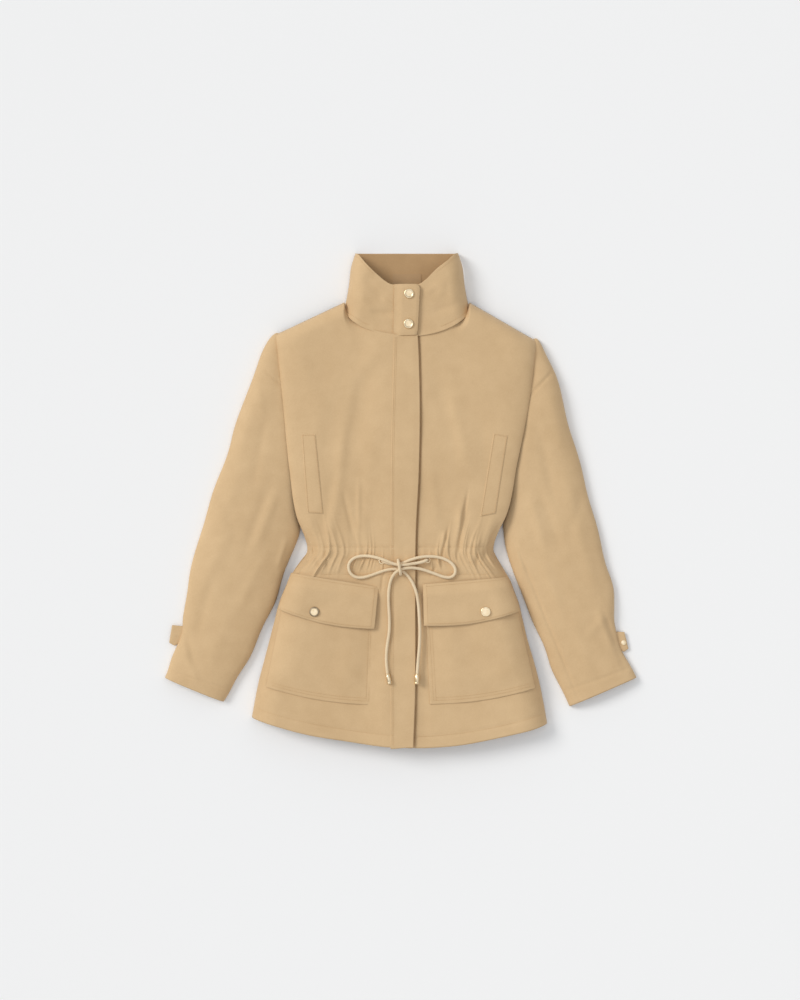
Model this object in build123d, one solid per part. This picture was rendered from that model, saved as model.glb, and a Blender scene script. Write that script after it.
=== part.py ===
"""A short cotton parka with a drawstring waist, lying flat on its back.

The coat lies in the XY plane with its front up (+Z) and its collar towards +Y.
The origin is on the floor under the middle of the coat. "left" is the -X side,
which is the wearer's right. All sizes are millimetres.
"""
from build123d import *
import math
import os

# ---- driving dimensions --------------------------------------------------------------
BODY_HEIGHT = 36.0          # floor to the outer face of the front panels
CLOTH = 1.5                 # shell cloth, two plies at the seams
LINING = 1.0
SIDE_ROLL = 42.0            # how far in the side fold takes to reach full height
HEM_Y = -397.0              # hem at the centre
HEM_RISE = 41.0             # how much higher the hem is at the side seams
HEM_HALF = 239.0
SHOULDER_Y = 268.0
NECK_X = 11.0               # the collar and the fly sit a little off the centre
NECK_HALF = 103.0
NECK_Y = 264.0              # neck seam at the front
NECK_DROP = 54.4            # side of the neck above the front of the neck
COLLAR_TOP = 398.0
SIDE_LOW = 2.6              # outer edge of the front above the floor at the skirt
SIDE_LIFT = 24.9            # and this much more where it lies over the sleeve
SLEEVE_HEIGHT = 25.0
CUFF_HEIGHT = 20.0
TUCK = 9.0                  # how far the sleeve goes in under the side of the front
LIFT_FROM = -86.0           # the side of the front rises off the floor from here
LIFT_RUN = 60.0             # over this length, to lie on the sleeve

FLY_LOW = 39.0              # underside of the fly
FLY_TOP = 40.5
TAB_LOW = 41.5              # underside of the collar tab
TAB_TOP = 43.5
FLY_STITCH = -12.0          # stitched edge of the fly
LAPEL_FOOT = (25.0, -70.0)  # the fold of the opened fly, from here
LAPEL_HEAD = (-9.0, 344.0)  # to here
LAPEL_GAP = 0.6

ZIP_X = 3.5
ZIP_LANE = 5.2              # half of the gap between the fronts, for the slider
ZIP_TOP = 333.0
ZIP_FOOT = -388.0
COIL_RADIUS = 1.5
COIL_OFFSET = 2.3           # centre of each coil from the middle of the zip
TAPE_OFFSET = 3.9           # inner edge of each tape from the middle
TAPE_LOW = 32.2             # underside of the zip tapes
TAPE = 0.9
TAPE_MIDDLE = TAPE_LOW + TAPE / 2

CORD = 4.8                  # drawcord diameter
TIP = 7.0                   # metal cord end diameter
EYELET_LEFT = (-28.8, -97.0)
EYELET_RIGHT = (43.8, -95.5)
EYELET_BORE = 3.1
EYELET_FLANGE = 5.6
CHANNEL_Z = 31.5            # centre of the cord inside the front casing
BACK_CORD_Z = 4.9

SNAP = 8.0                  # snap cap radius
SNAP_SOCKET = 5.5
SNAP_STUD = 2.2

# half width of the body at each height, hem to shoulder: (y, half width)
BODY_SIDES = [(-356, 239), (-290, 226), (-224, 209), (-160, 192), (-128, 178), (-98, 157),
              (-80, 150), (-60, 154), (-30, 166), (47, 183), (150, 197), (268, 209)]

# sleeve edges of the left sleeve, shoulder to cuff
SLEEVE_OUT = [(-211, 262), (-226, 235), (-242, 192), (-262, 130), (-277, 80), (-294, 30),
              (-315, -32), (-334, -96), (-342, -145), (-350, -203), (-365, -250), (-379, -286)]
SLEEVE_IN = [(-207, 250), (-201, 214), (-196, 160), (-189, 107), (-183, 62), (-176, 18),
             (-166, -24), (-178, -90), (-192, -136), (-214, -194), (-240, -250), (-285, -325)]


def between(stations, at):
    """Smooth value between stations: a cubic through each pair with matched slopes."""
    last = len(stations) - 1
    if at <= stations[0][0]:
        return stations[0][1]
    if at >= stations[last][0]:
        return stations[last][1]
    i = 0
    while stations[i + 1][0] < at:
        i += 1

    def slope(k):
        low, high = stations[max(k - 1, 0)], stations[min(k + 1, last)]
        return (high[1] - low[1]) / (high[0] - low[0])

    (x0, y0), (x1, y1) = stations[i], stations[i + 1]
    span = x1 - x0
    t = (at - x0) / span
    return (y0 * (1 + 2 * t) * (1 - t) ** 2 + y1 * t * t * (3 - 2 * t)
            + span * (slope(i) * t * (1 - t) ** 2 - slope(i + 1) * t * t * (1 - t)))


def roll(distance, radius):
    """0 at the side fold, 1 on the flat: a quarter of an ellipse."""
    t = min(max(distance / radius, 0.0), 1.0)
    return math.sqrt(1.0 - (1.0 - t) ** 2)


def half_width(y):
    return between(BODY_SIDES, y)


def hem(x):
    return HEM_Y + HEM_RISE * min(abs(x) / HEM_HALF, 1.0) ** 2.2


def top_edge(x):
    """Neck seam in the middle, shoulder seam on each side of it."""
    t = abs(x - NECK_X) / NECK_HALF
    if t < 1:
        return NECK_Y + NECK_DROP * (1 - math.sqrt(1 - t * t))
    neck_side = NECK_Y + NECK_DROP
    run = abs(x - NECK_X) - NECK_HALF
    return neck_side - run * (neck_side - SHOULDER_Y) / (209.0 - NECK_HALF)


def side_lift(y):
    """Height of the front's outer edge: on the floor at the skirt, over the sleeve above."""
    t = min(max((y - LIFT_FROM) / LIFT_RUN, 0.0), 1.0)
    return SIDE_LOW + SIDE_LIFT * t * t * (3 - 2 * t)


def front_height(x, y):
    """Height of the outer face of the fronts."""
    low = side_lift(y)
    return low + (BODY_HEIGHT - low) * roll(half_width(y) - abs(x), SIDE_ROLL)


def sheet_down(grid, thickness):
    """A cloth panel: a smooth face through a grid of points, thickened downwards."""
    skin = Face.make_surface_from_array_of_points(grid)
    return Solid.thicken(skin, -thickness if skin.normal_at().Z > 0 else thickness)


def plate(outline, low, high):
    """A flat piece of cloth or metal between two heights."""
    flat = make_face(Polyline(*outline, close=True))
    return extrude(Pos(0, 0, low) * flat, high - low)


def mirrored(points):
    return [(-x, y) for x, y in points]


def spread(low, high, count):
    return [low + (high - low) * i / (count - 1) for i in range(count)]


def box_at(x, y, z, dx, dy, dz):
    return Pos(x, y, z) * Box(dx, dy, dz)


def disc(x, y, low, radius, height):
    return Pos(x, y, low + height / 2) * Cylinder(radius, height)


nodes = {}


# ---- back panel, fronts and linings --------------------------------------------------
def torso_outline(inset, tuck, waist):
    """Outline of a flat torso layer, hem first, then up the right side."""
    reach = HEM_HALF - 4 - inset
    bottom = [(x, hem(x) + inset) for x in spread(-reach, reach, 15)]
    side = [(half_width(y) - inset - 3, y) for y in (-290, -224, -160, -136)]
    side += [(min(half_width(y) - inset - 3, waist), y) for y in (-118, -98, -80)]
    side += [(half_width(y) - inset - tuck, y) for y in (-56, -30, 20, 80, 150, 205)]
    side.append((196 - inset - tuck / 2, 258 - inset))
    side.append((NECK_X + NECK_HALF - inset, NECK_Y + NECK_DROP - inset))
    neck = [(NECK_X - NECK_HALF + inset, NECK_Y + NECK_DROP - inset)]
    return bottom + side + neck + mirrored(side[:-1])[::-1]


nodes["back_panel"] = plate(torso_outline(0, TUCK + 3, 999), 0, CLOTH)
LINING_BACK_LOW = 8.0
LINING_INSET = 18.0
LINING_WAIST = 116.0
nodes["lining_back"] = plate(torso_outline(LINING_INSET, TUCK + 3, LINING_WAIST),
                             LINING_BACK_LOW, LINING_BACK_LOW + LINING)


def front_grid(side, inner, inset, trim, height):
    """Points of one front layer: columns from the centre edge to the side, rows from the hem up.

    The flat part has evenly spaced columns and the side roll has columns at equal angles.
    """
    grid = []
    for v in spread(0.0, 1.0, 14):
        y_side = -356 + trim + v * (SHOULDER_Y - 2 * trim + 356)
        width = half_width(y_side) - inset
        turn = SIDE_ROLL - inset
        reaches = spread(side * inner, width - turn, 7)
        reaches += [width - turn + turn * math.sin(math.radians(18 * step)) for step in range(1, 6)]
        row = []
        for reach in reaches:
            x = side * reach
            low, high = hem(x) + trim, top_edge(x) - trim
            y = low + v * (high - low)
            row.append(Vector(x, y, height(roll(width - reach, turn), y)))
        grid.append(row)
    return grid


def shell_height(share, y):
    low = side_lift(y)
    return low + (BODY_HEIGHT - low) * share


def lining_height(share, y):
    return LINING_EDGE + (LINING_TOP - LINING_EDGE) * share


LINING_TOP = 27.5
LINING_EDGE = 10.4
LINING_ZIP = 16.0
LINING_TRIM = 16.0
for name, side in (("left", -1), ("right", 1)):
    panel = sheet_down(front_grid(side, ZIP_X + side * ZIP_LANE, 0, 0, shell_height), CLOTH)
    x, y = EYELET_LEFT if side < 0 else EYELET_RIGHT
    nodes[f"front_panel_{name}"] = panel - disc(x, y, 20, EYELET_BORE + 0.4, 30)
    nodes[f"lining_front_{name}"] = sheet_down(
        front_grid(side, ZIP_X + side * LINING_ZIP, LINING_INSET, LINING_TRIM, lining_height), LINING)


# ---- sleeves -------------------------------------------------------------------------
def sleeve_grid(side, inset, base, drop, first, last):
    """Half-ellipse sections carried from the shoulder down to the cuff."""
    grid = []
    for i in range(first, last):
        (ox, oy), (ix, iy) = SLEEVE_OUT[i], SLEEVE_IN[i]
        share = i / (len(SLEEVE_OUT) - 1)
        height = SLEEVE_HEIGHT + (CUFF_HEIGHT - SLEEVE_HEIGHT) * share - drop
        if i == 0:
            height *= 0.62
        if i == 1:
            height *= 0.9
        span = math.hypot(ix - ox, iy - oy)
        row = []
        for step in range(13):
            across = 0.5 - 0.5 * math.cos(math.pi * step / 12)
            across = inset / span + across * (1 - 2 * inset / span)
            x = ox + (ix - ox) * across
            y = oy + (iy - oy) * across
            lift = math.sin(math.pi * step / 12)
            row.append(Vector(side * -x, y, base + height * lift))
        grid.append(row)
    return grid


UNDER_GAP = 0.6
SLEEVE_LINING_INSET = 8.0
for name, side in (("left", -1), ("right", 1)):
    nodes[f"sleeve_upper_{name}"] = sheet_down(
        sleeve_grid(side, 0.5, CLOTH + UNDER_GAP, 0, 0, 12), CLOTH)
    outline = SLEEVE_OUT + SLEEVE_IN[::-1]
    outline = outline if side < 0 else mirrored(outline)
    nodes[f"sleeve_under_{name}"] = plate(outline, 0, CLOTH)
    nodes[f"sleeve_lining_{name}"] = sheet_down(
        sleeve_grid(side, SLEEVE_LINING_INSET, CLOTH + 1.4, 5.5, 2, 12), LINING)

# ---- collar --------------------------------------------------------------------------
collar_left = [(-92, 319.5), (-87, 338), (-82, 358), (-78, 384), (-70, COLLAR_TOP)]
collar_right = [(x * -1 + 2 * NECK_X, y) for x, y in collar_left]
nodes["collar_back"] = plate(collar_left + collar_right[::-1], 0, CLOTH)

LEAF_ROLL = 24.0
LEAF_HALF = NECK_HALF - 4.0
LEAF_TAPER = 20.0
LEAF_CLEAR = 3.2            # foot of a leaf above the neck seam, so that it clears the front
LEAF_TOP = (343.0, 394.0)


def collar_leaf(side, inner_x):
    """A collar leaf: its side rolls round to the back of the collar, its top edge slopes down."""
    grid = []
    start = side * (inner_x - NECK_X)
    for v in spread(0.0, 1.0, 8):
        row = []
        run = LEAF_HALF - LEAF_TAPER * v
        for step in range(12):
            reach = start + (run - start) * math.sin(math.radians(90 * step / 11))
            t = min(abs(reach) / LEAF_HALF, 1.0)
            low = NECK_Y + LEAF_CLEAR + NECK_DROP * (1 - math.sqrt(1 - t * t))
            slope = (abs(reach) / (LEAF_HALF - LEAF_TAPER)) ** 1.5
            high = max(LEAF_TOP[0] + (LEAF_TOP[1] - LEAF_TOP[0]) * slope, low + 18)
            z = 3.2 + 34.8 * roll(run - reach, LEAF_ROLL)
            row.append(Vector(NECK_X + side * reach, low + v * (high - low), z))
        grid.append(row)
    return sheet_down(grid, 1.6)


nodes["collar_leaf_left"] = collar_leaf(-1, ZIP_X - ZIP_LANE)
nodes["collar_leaf_right"] = collar_leaf(1, ZIP_X + ZIP_LANE)
nodes["hanger_loop"] = (box_at(NECK_X, 330, 5.2, 60, 8, 1.6)
                        + box_at(NECK_X - 27, 330, 3.0, 6, 8, 2.9)
                        + box_at(NECK_X + 27, 330, 3.0, 6, 8, 2.9))
nodes["neck_label"] = box_at(NECK_X, 352, 2.2, 46, 26, 1.0)


# ---- fly, collar tab and their snaps -------------------------------------------------
lapel_run = Vector(LAPEL_HEAD[0] - LAPEL_FOOT[0], LAPEL_HEAD[1] - LAPEL_FOOT[1], 0).normalized()
lapel_out = Vector(lapel_run.Y, -lapel_run.X, 0)


def lapel_x(y, gap):
    """x of the fold line at a height, moved sideways by gap."""
    share = (y - LAPEL_FOOT[1]) / (LAPEL_HEAD[1] - LAPEL_FOOT[1])
    return LAPEL_FOOT[0] + share * (LAPEL_HEAD[0] - LAPEL_FOOT[0]) + gap / lapel_out.X


FLY_HEAD = NECK_Y - 1.0
lower = [(FLY_STITCH, hem(0) + 0.5), (23, hem(23) + 0.5), (24, -240), (25, -90),
         (lapel_x(-72, -LAPEL_GAP), -72), (lapel_x(FLY_HEAD, -LAPEL_GAP), FLY_HEAD),
         (FLY_STITCH + 2, FLY_HEAD), (FLY_STITCH - 2, 98)]
nodes["placket_lower"] = plate(lower, FLY_LOW, FLY_TOP)
UPPER_FOOT = -58.0
upper = [(lapel_x(UPPER_FOOT, LAPEL_GAP), UPPER_FOOT), (27.5, UPPER_FOOT), (30.5, 45), (31, 160),
         (30, 210), (27, FLY_HEAD), (lapel_x(FLY_HEAD, LAPEL_GAP), FLY_HEAD)]
nodes["placket_upper"] = plate(upper, FLY_LOW, FLY_TOP)
tab = [(lapel_x(NECK_Y, LAPEL_GAP), NECK_Y), (24, NECK_Y), (27.5, NECK_Y + 4), (32, 340),
       (28, 344), (lapel_x(344, LAPEL_GAP), 344)]
joining = [(lapel_x(FLY_HEAD - 6, LAPEL_GAP), FLY_HEAD - 6), (26, FLY_HEAD - 6), (26, NECK_Y + 2),
           (lapel_x(NECK_Y + 2, LAPEL_GAP), NECK_Y + 2)]
nodes["collar_tab"] = plate(tab, TAB_LOW, TAB_TOP) + plate(joining, FLY_TOP, TAB_LOW + 0.5)

COLLAR_SNAPS = [(14.4, 329.0), (13.6, 281.0)]


def snap_cap(x, y, low):
    """A pressed cap: a low disc with a rolled-over edge."""
    cap = disc(x, y, low, SNAP, 2.2)
    return fillet(cap.edges().sort_by(Axis.Z)[-1], 1.5)


def snap_socket(x, y, low, height):
    """A ring with a bore that clears the stud."""
    return disc(x, y, low, SNAP_SOCKET, height) - disc(x, y, low - 1, SNAP_STUD + 0.5, height + 0.4)


def snap_stud(x, y, low, height):
    """A stud with a wide foot under the cloth's surface."""
    return disc(x, y, low, SNAP_SOCKET, 0.8) + disc(x, y, low + 0.8, SNAP_STUD, height - 0.8)


nodes["collar_snap_caps"] = Compound([snap_cap(x, y, TAB_TOP) for x, y in COLLAR_SNAPS])
nodes["collar_snap_sockets"] = Compound(
    [snap_socket(x, y, TAB_LOW - 1.6, 1.6) for x, y in COLLAR_SNAPS])
nodes["collar_snap_studs"] = Compound([snap_stud(x, y, 38.4, 2.3) for x, y in COLLAR_SNAPS])


# ---- zip -----------------------------------------------------------------------------
for name, side in (("left", -1), ("right", 1)):
    inner = ZIP_X + side * TAPE_OFFSET
    outer = ZIP_X + side * 14.0
    low_x, high_x = min(inner, outer), max(inner, outer)
    nodes[f"zip_tape_{name}"] = plate(
        [(low_x, ZIP_FOOT + 9), (high_x, ZIP_FOOT + 9), (high_x, ZIP_TOP + 4), (low_x, ZIP_TOP + 4)],
        TAPE_LOW, TAPE_LOW + TAPE)
    coil = Cylinder(COIL_RADIUS, ZIP_TOP - ZIP_FOOT - 30, rotation=(90, 0, 0))
    nodes[f"zip_coil_{name}"] = Pos(ZIP_X + side * COIL_OFFSET, (ZIP_TOP + ZIP_FOOT) / 2 - 5,
                                    TAPE_MIDDLE) * coil
nodes["zip_top_stops"] = Compound(
    [box_at(ZIP_X + side * COIL_OFFSET, ZIP_TOP - 1.5, TAPE_MIDDLE, 2.6, 4, 2.4) for side in (-1, 1)])
nodes["zip_box"] = box_at(ZIP_X, ZIP_FOOT + 4, TAPE_MIDDLE, 9, 7.5, 2.6)
SLIDER_Y = ZIP_TOP - 17.0
SLIDER_POST = 0.9           # width of the post between the two coils
wing = SlotOverall(13.0, 9.0, rotation=90)
slider = extrude(Pos(ZIP_X, SLIDER_Y, TAPE_MIDDLE + 2.0) * wing, 1.1)
slider += extrude(Pos(ZIP_X, SLIDER_Y, TAPE_MIDDLE - 3.1) * wing, 1.1)
slider += box_at(ZIP_X, SLIDER_Y + 5.3, TAPE_MIDDLE, SLIDER_POST, 1.8, 5.0)
nodes["zip_slider"] = slider
pull = box_at(ZIP_X, SLIDER_Y - 12, TAPE_MIDDLE + 3.55, 6, 22, 0.8)
pull -= box_at(ZIP_X, SLIDER_Y - 4, TAPE_MIDDLE + 3.55, 3, 3, 3)
nodes["zip_pull"] = pull


# ---- patch pockets, flaps and their snaps --------------------------------------------
POUCH_TOP = -150.0
POUCH_INNER = 44.0
POUCH_FOOT = -327.0
FLAP_GAP = 6.6              # underside of a flap's top edge above the front, plus its cloth
FLAP_STEP = 7.2             # and this much more over the pouch
POUCH_GAP = 1.9
POUCH_PUFF = 5.0
POCKET_SNAP = (136.5, -178.0)


def pocket_point(side, u, v):
    """u runs from the pocket's inner edge to the side, v from the foot to the mouth."""
    foot_x = POUCH_INNER + u * 170
    mouth_x = POUCH_INNER - 6 + u * 142
    foot_y = POUCH_FOOT + 26 * u ** 1.6
    mouth_y = POUCH_TOP + 13 * u
    x = foot_x + (mouth_x - foot_x) * v
    y = foot_y + (mouth_y - foot_y) * v
    return side * x, y


def pouch(side):
    """A patch pocket that stands off the front in its middle and meets it at its edges."""
    grid = []
    for v in spread(0.0, 1.0, 10):
        row = []
        for u in spread(0.0, 1.0, 12):
            x, y = pocket_point(side, u, v)
            puff = min(1.0, 3.2 * u) * min(1.0, 3.2 * (1 - u)) * min(1.0, 3.2 * v)
            row.append(Vector(x, y, front_height(x, y) + POUCH_GAP + POUCH_PUFF * puff))
        grid.append(row)
    return sheet_down(grid, 1.2)


def flap(side):
    """The flap lies over the pouch and follows the roll of the side."""
    grid = []
    for v in spread(0.0, 1.0, 8):
        row = []
        for u in spread(0.0, 1.0, 12):
            top_x, top_y = 36 + u * 132, -136.5 + u * 15.5
            low_x, low_y = 39 + u * 150, -204 + 28 * u ** 1.8
            x = side * (low_x + (top_x - low_x) * v)
            y = low_y + (top_y - low_y) * v
            step = FLAP_STEP * min(1.0, 4.0 * (1 - v))
            row.append(Vector(x, y, front_height(x, y) + FLAP_GAP + step))
        grid.append(row)
    return sheet_down(grid, CLOTH)


for name, side in (("left", -1), ("right", 1)):
    nodes[f"pocket_pouch_{name}"] = pouch(side)
    nodes[f"pocket_flap_{name}"] = flap(side)
    x, y = side * POCKET_SNAP[0], POCKET_SNAP[1]
    face = front_height(x, y) + FLAP_GAP + FLAP_STEP
    nodes[f"pocket_snap_cap_{name}"] = snap_cap(x, y, face + 0.1)
    nodes[f"pocket_snap_socket_{name}"] = snap_socket(x, y, face - CLOTH - 1.7, 1.6)
x, y = POCKET_SNAP
stud_low = front_height(x, y) + POUCH_GAP + POUCH_PUFF + 0.1
nodes["pocket_snap_studs"] = Compound(
    [snap_stud(side * x, y, stud_low, 4.3) for side in (-1, 1)])

# ---- chest welt pockets --------------------------------------------------------------
for name, side in (("left", -1), ("right", 1)):
    welt = [(131, 106), (155, 106), (144, -22), (118, -22)]
    bag = [(60, 96), (146, 96), (128, -40), (66, -40)]
    points = welt if side > 0 else mirrored(welt)
    nodes[f"chest_welt_{name}"] = plate(points, BODY_HEIGHT + 0.3, BODY_HEIGHT + 1.3)
    points = bag if side > 0 else mirrored(bag)
    nodes[f"chest_pocket_bag_{name}"] = plate(points, 29.0, 29.7) + plate(points, 31.9, 32.6)

# ---- waist casing, eyelets and drawcord ----------------------------------------------
nodes["waist_casing"] = (plate([(-88, -110), (-20, -110), (-20, -86), (-88, -86)], 28.3, 28.9)
                         + plate([(28, -110), (88, -110), (88, -86), (28, -86)], 28.3, 28.9))
EYELETS = (EYELET_LEFT, EYELET_RIGHT)
nodes["cord_eyelets"] = Compound(
    [disc(x, y, BODY_HEIGHT + 0.2, EYELET_FLANGE, 1.0) - disc(x, y, 30, EYELET_BORE, 12)
     for x, y in EYELETS])
nodes["eyelet_washers"] = Compound(
    [disc(x, y, BODY_HEIGHT - CLOTH - 0.55, EYELET_FLANGE, 0.45) - disc(x, y, 30, EYELET_BORE, 12)
     for x, y in EYELETS])


def route_radii(points):
    """Each arc is as large as its two runs allow."""
    radii = []
    for a, b, c in zip(points, points[1:], points[2:]):
        first, second = Vector(b) - Vector(a), Vector(c) - Vector(b)
        turn = math.radians(first.get_angle(second))
        radii.append(0.45 * min(first.length, second.length) / math.tan(turn / 2))
    return radii


def cord(name, points):
    """A round cord along straight runs joined by tangent arcs."""
    radii = route_radii(points)
    path = FilletPolyline(*points, radius=radii)
    start = Plane(origin=path @ 0, z_dir=path % 0)
    tube = sweep(start * Circle(CORD / 2), path=path)
    section = math.pi * CORD ** 2 / 4
    print(name, "length", round(path.length, 1), "volume ratio", round(tube.volume / section / path.length, 4),
          "radii", [round(r, 1) for r in radii])
    return tube


CORD_LEFT = [(-28.8, -97.0, CHANNEL_Z), (-28.8, -97.0, 41.2), (-25.2, -98.4, 44.6), (-15.0, -101.6, 44.0),
             (-3.0, -102.6, 43.4), (7.0, -99.5, 43.2), (18.0, -94.6, 43.6), (34.0, -90.4, 42.6),
             (52.0, -89.6, 40.2), (68.0, -92.6, 39.4), (80.5, -98.6, 39.4), (88.0, -107.5, 39.4),
             (88.6, -117.0, 39.4), (82.0, -123.8, 39.4), (71.0, -123.4, 39.4), (55.0, -117.4, 39.8),
             (37.0, -110.6, 42.0), (20.0, -107.6, 45.6), (7.0, -108.6, 48.4), (-3.0, -111.6, 48.4),
             (-11.0, -119.0, 46.4), (-16.0, -131.0, 43.6), (-18.6, -148.0, 43.2), (-18.2, -168.0, 43.4),
             (-16.6, -190.0, 43.2), (-17.0, -211.0, 43.4), (-20.4, -230.0, 43.2), (-22.2, -250.0, 43.2),
             (-21.6, -264.0, 43.3), (-19.8, -277.0, 43.5)]
CORD_RIGHT = [(43.8, -95.5, CHANNEL_Z), (43.8, -95.5, 41.2), (40.4, -97.0, 44.4), (31.0, -99.8, 44.2),
              (20.0, -101.4, 45.0), (10.0, -103.0, 47.2), (0.0, -103.6, 48.8), (-11.0, -101.4, 49.0),
              (-22.0, -96.6, 49.0), (-36.0, -91.6, 46.6), (-52.0, -88.8, 41.4), (-66.0, -89.4, 39.6),
              (-77.0, -94.4, 39.4), (-83.0, -104.0, 39.4), (-80.6, -116.0, 39.4), (-71.0, -123.6, 39.4),
              (-58.0, -124.0, 39.4), (-42.0, -118.6, 40.2), (-26.0, -112.4, 42.2), (-12.0, -109.6, 43.2),
              (0.0, -110.8, 43.2), (10.0, -117.4, 43.2), (20.0, -130.8, 43.4), (26.6, -148.0, 43.6),
              (29.6, -168.0, 43.4), (31.0, -190.0, 43.4), (31.9, -211.0, 43.2), (31.0, -234.0, 43.4),
              (28.8, -255.0, 43.2), (27.4, -277.0, 43.5)]
HIDDEN = [(-28.8, -97.0, CHANNEL_Z), (-60.0, -98.5, CHANNEL_Z - 0.1), (-95.0, -96.5, CHANNEL_Z - 0.3),
          (-118.0, -98.0, 30.4), (-134.0, -98.5, 27.3), (-147.0, -98.0, 18.6),
          (-148.0, -98.4, 9.2), (-137.0, -98.0, BACK_CORD_Z), (-112.0, -98.5, BACK_CORD_Z + 0.1),
          (-72.0, -97.0, BACK_CORD_Z + 0.2), (-25.0, -99.5, BACK_CORD_Z), (30.0, -97.0, BACK_CORD_Z + 0.2),
          (76.0, -99.0, BACK_CORD_Z), (113.0, -97.5, BACK_CORD_Z + 0.1), (137.0, -98.5, BACK_CORD_Z),
          (148.0, -98.0, 9.2), (147.0, -98.4, 18.6), (134.0, -97.5, 27.3), (118.0, -98.0, 30.4), (98.0, -96.6, CHANNEL_Z - 0.3),
          (72.0, -98.0, CHANNEL_Z - 0.1), (43.8, -95.5, CHANNEL_Z)]
nodes["drawcord_left"] = cord("drawcord_left", CORD_LEFT)
nodes["drawcord_right"] = cord("drawcord_right", CORD_RIGHT)
nodes["drawcord_channel"] = cord("drawcord_channel", HIDDEN)


def cord_tip(route, aim):
    """A crimped metal tube on the end of the cord."""
    end = Vector(*route[-1])
    way = (Vector(*aim) - end).normalized()
    tip = Solid.make_cylinder(TIP / 2, 16.0, Plane(origin=end, z_dir=way))
    return fillet(tip.edges(), 0.8)


nodes["cord_tip_left"] = cord_tip(CORD_LEFT, (-16.3, -293.0, 43.9))
nodes["cord_tip_right"] = cord_tip(CORD_RIGHT, (26.9, -293.0, 43.9))


# ---- cuff tabs -----------------------------------------------------------------------
def cuff_tab(side):
    """A short strap that sticks out past the sleeve's outer edge."""
    points = [(-353.5, -201), (-367, -202.5), (-371.5, -230), (-364, -234.5), (-356.5, -222)]
    points = points if side < 0 else mirrored(points)
    return plate(points, 3.0, 4.8)


CUFF_SNAP = (-363.4, -218.0)
CUFF_SNAP_R = 4.4
for name, side in (("left", -1), ("right", 1)):
    nodes[f"cuff_tab_{name}"] = cuff_tab(side)
    x = side * -CUFF_SNAP[0]
    nodes[f"cuff_snap_cap_{name}"] = disc(x, CUFF_SNAP[1], 4.8, CUFF_SNAP_R, 1.4)

os.makedirs("parts", exist_ok=True)
for name, shape in nodes.items():
    export_step(shape, f"parts/{name}.step")
print(len(nodes), "nodes")
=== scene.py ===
# %% [markdown]
# # A short cotton parka, laid flat
# The coat lies on its back with its front up. Every piece of cloth is a surface worked out from a few
# given outlines, with folds and gathers added to its height, and then given its real thickness.
# The metal pieces are turned profiles, and the drawcord is one smooth spline for each half.
# The imported CAD model is loaded first: it gives the places, and the new pieces ride on its bodies.

# %% Load the frame and keep the CAD box
import math

import bmesh
import bpy
import numpy as np
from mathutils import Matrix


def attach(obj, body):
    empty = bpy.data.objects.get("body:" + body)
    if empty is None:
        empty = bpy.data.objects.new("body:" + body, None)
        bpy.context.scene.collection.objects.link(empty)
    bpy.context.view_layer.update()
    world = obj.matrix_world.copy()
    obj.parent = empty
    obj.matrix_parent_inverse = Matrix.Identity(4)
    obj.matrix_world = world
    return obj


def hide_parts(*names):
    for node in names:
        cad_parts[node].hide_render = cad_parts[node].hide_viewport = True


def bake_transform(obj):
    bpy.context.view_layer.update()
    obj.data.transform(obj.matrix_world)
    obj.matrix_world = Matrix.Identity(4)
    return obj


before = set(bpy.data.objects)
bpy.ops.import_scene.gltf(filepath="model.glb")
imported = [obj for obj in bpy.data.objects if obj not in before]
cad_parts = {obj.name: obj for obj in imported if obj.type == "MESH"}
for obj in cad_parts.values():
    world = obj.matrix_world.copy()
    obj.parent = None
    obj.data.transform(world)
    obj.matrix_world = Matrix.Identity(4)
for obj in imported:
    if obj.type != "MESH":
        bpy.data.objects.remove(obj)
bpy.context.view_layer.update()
MM = 0.001
COAT, LAPEL = "coat", "front_lapel"

# %% [markdown]
# ## Camera, floor and light
# A coat laid flat is seen from straight above. A long lens at three metres keeps the sleeves from
# leaning. A wide, even light from the viewer's left shapes the folds, a ceiling card fills them and shows
# in the metal, and a pale sky does the rest.

# %% Camera, floor and lights
VIEW_HEIGHT = 1.6
CLOTH_LEVEL = 0.03
LENS, SENSOR = 70.0, 36.0
scene = bpy.context.scene
camera_data = bpy.data.cameras.new("camera")
camera_data.lens = LENS
camera_data.sensor_width = SENSOR
camera = bpy.data.objects.new("camera", camera_data)
camera.location = (0.0, 0.0, VIEW_HEIGHT * LENS / SENSOR + CLOTH_LEVEL)
scene.collection.objects.link(camera)
scene.camera = camera
scene.view_settings.view_transform = "Standard"
print("camera height", round(camera.location.z, 3), "m")


def add_light(name, kind, place, power, colour):
    """A light at place that points at the coat."""
    data = bpy.data.lights.new(name, kind)
    data.energy = power
    data.color = colour
    light = bpy.data.objects.new(name, data)
    light.location = place
    aim = -np.array(place)
    yaw = math.atan2(-aim[0], aim[1])
    light.rotation_euler = (math.atan2(math.hypot(aim[0], aim[1]), -aim[2]), 0, yaw)
    scene.collection.objects.link(light)
    return data


window = add_light("window_light", "SUN", (-5.2, 2.7, 4.2), 1.55, (1.0, 0.985, 0.965))
window.angle = 0.42
ceiling = add_light("ceiling_light", "AREA", (0.3, -0.3, 5.0), 46.0, (0.98, 0.99, 1.0))
ceiling.size = 4.8
world = bpy.data.worlds.new("pale_room")
scene.world = world
world.use_nodes = True
world.node_tree.nodes["Background"].inputs["Color"].default_value = (0.97, 0.985, 1.0, 1.0)
world.node_tree.nodes["Background"].inputs["Strength"].default_value = 0.53

# %% [markdown]
# ## Node groups
# The weave and the slow change of shade in washed cotton are used by every cloth, so each is a node
# group with named inputs. A group puts out only masks and heights: the shader stays in the material.


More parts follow.
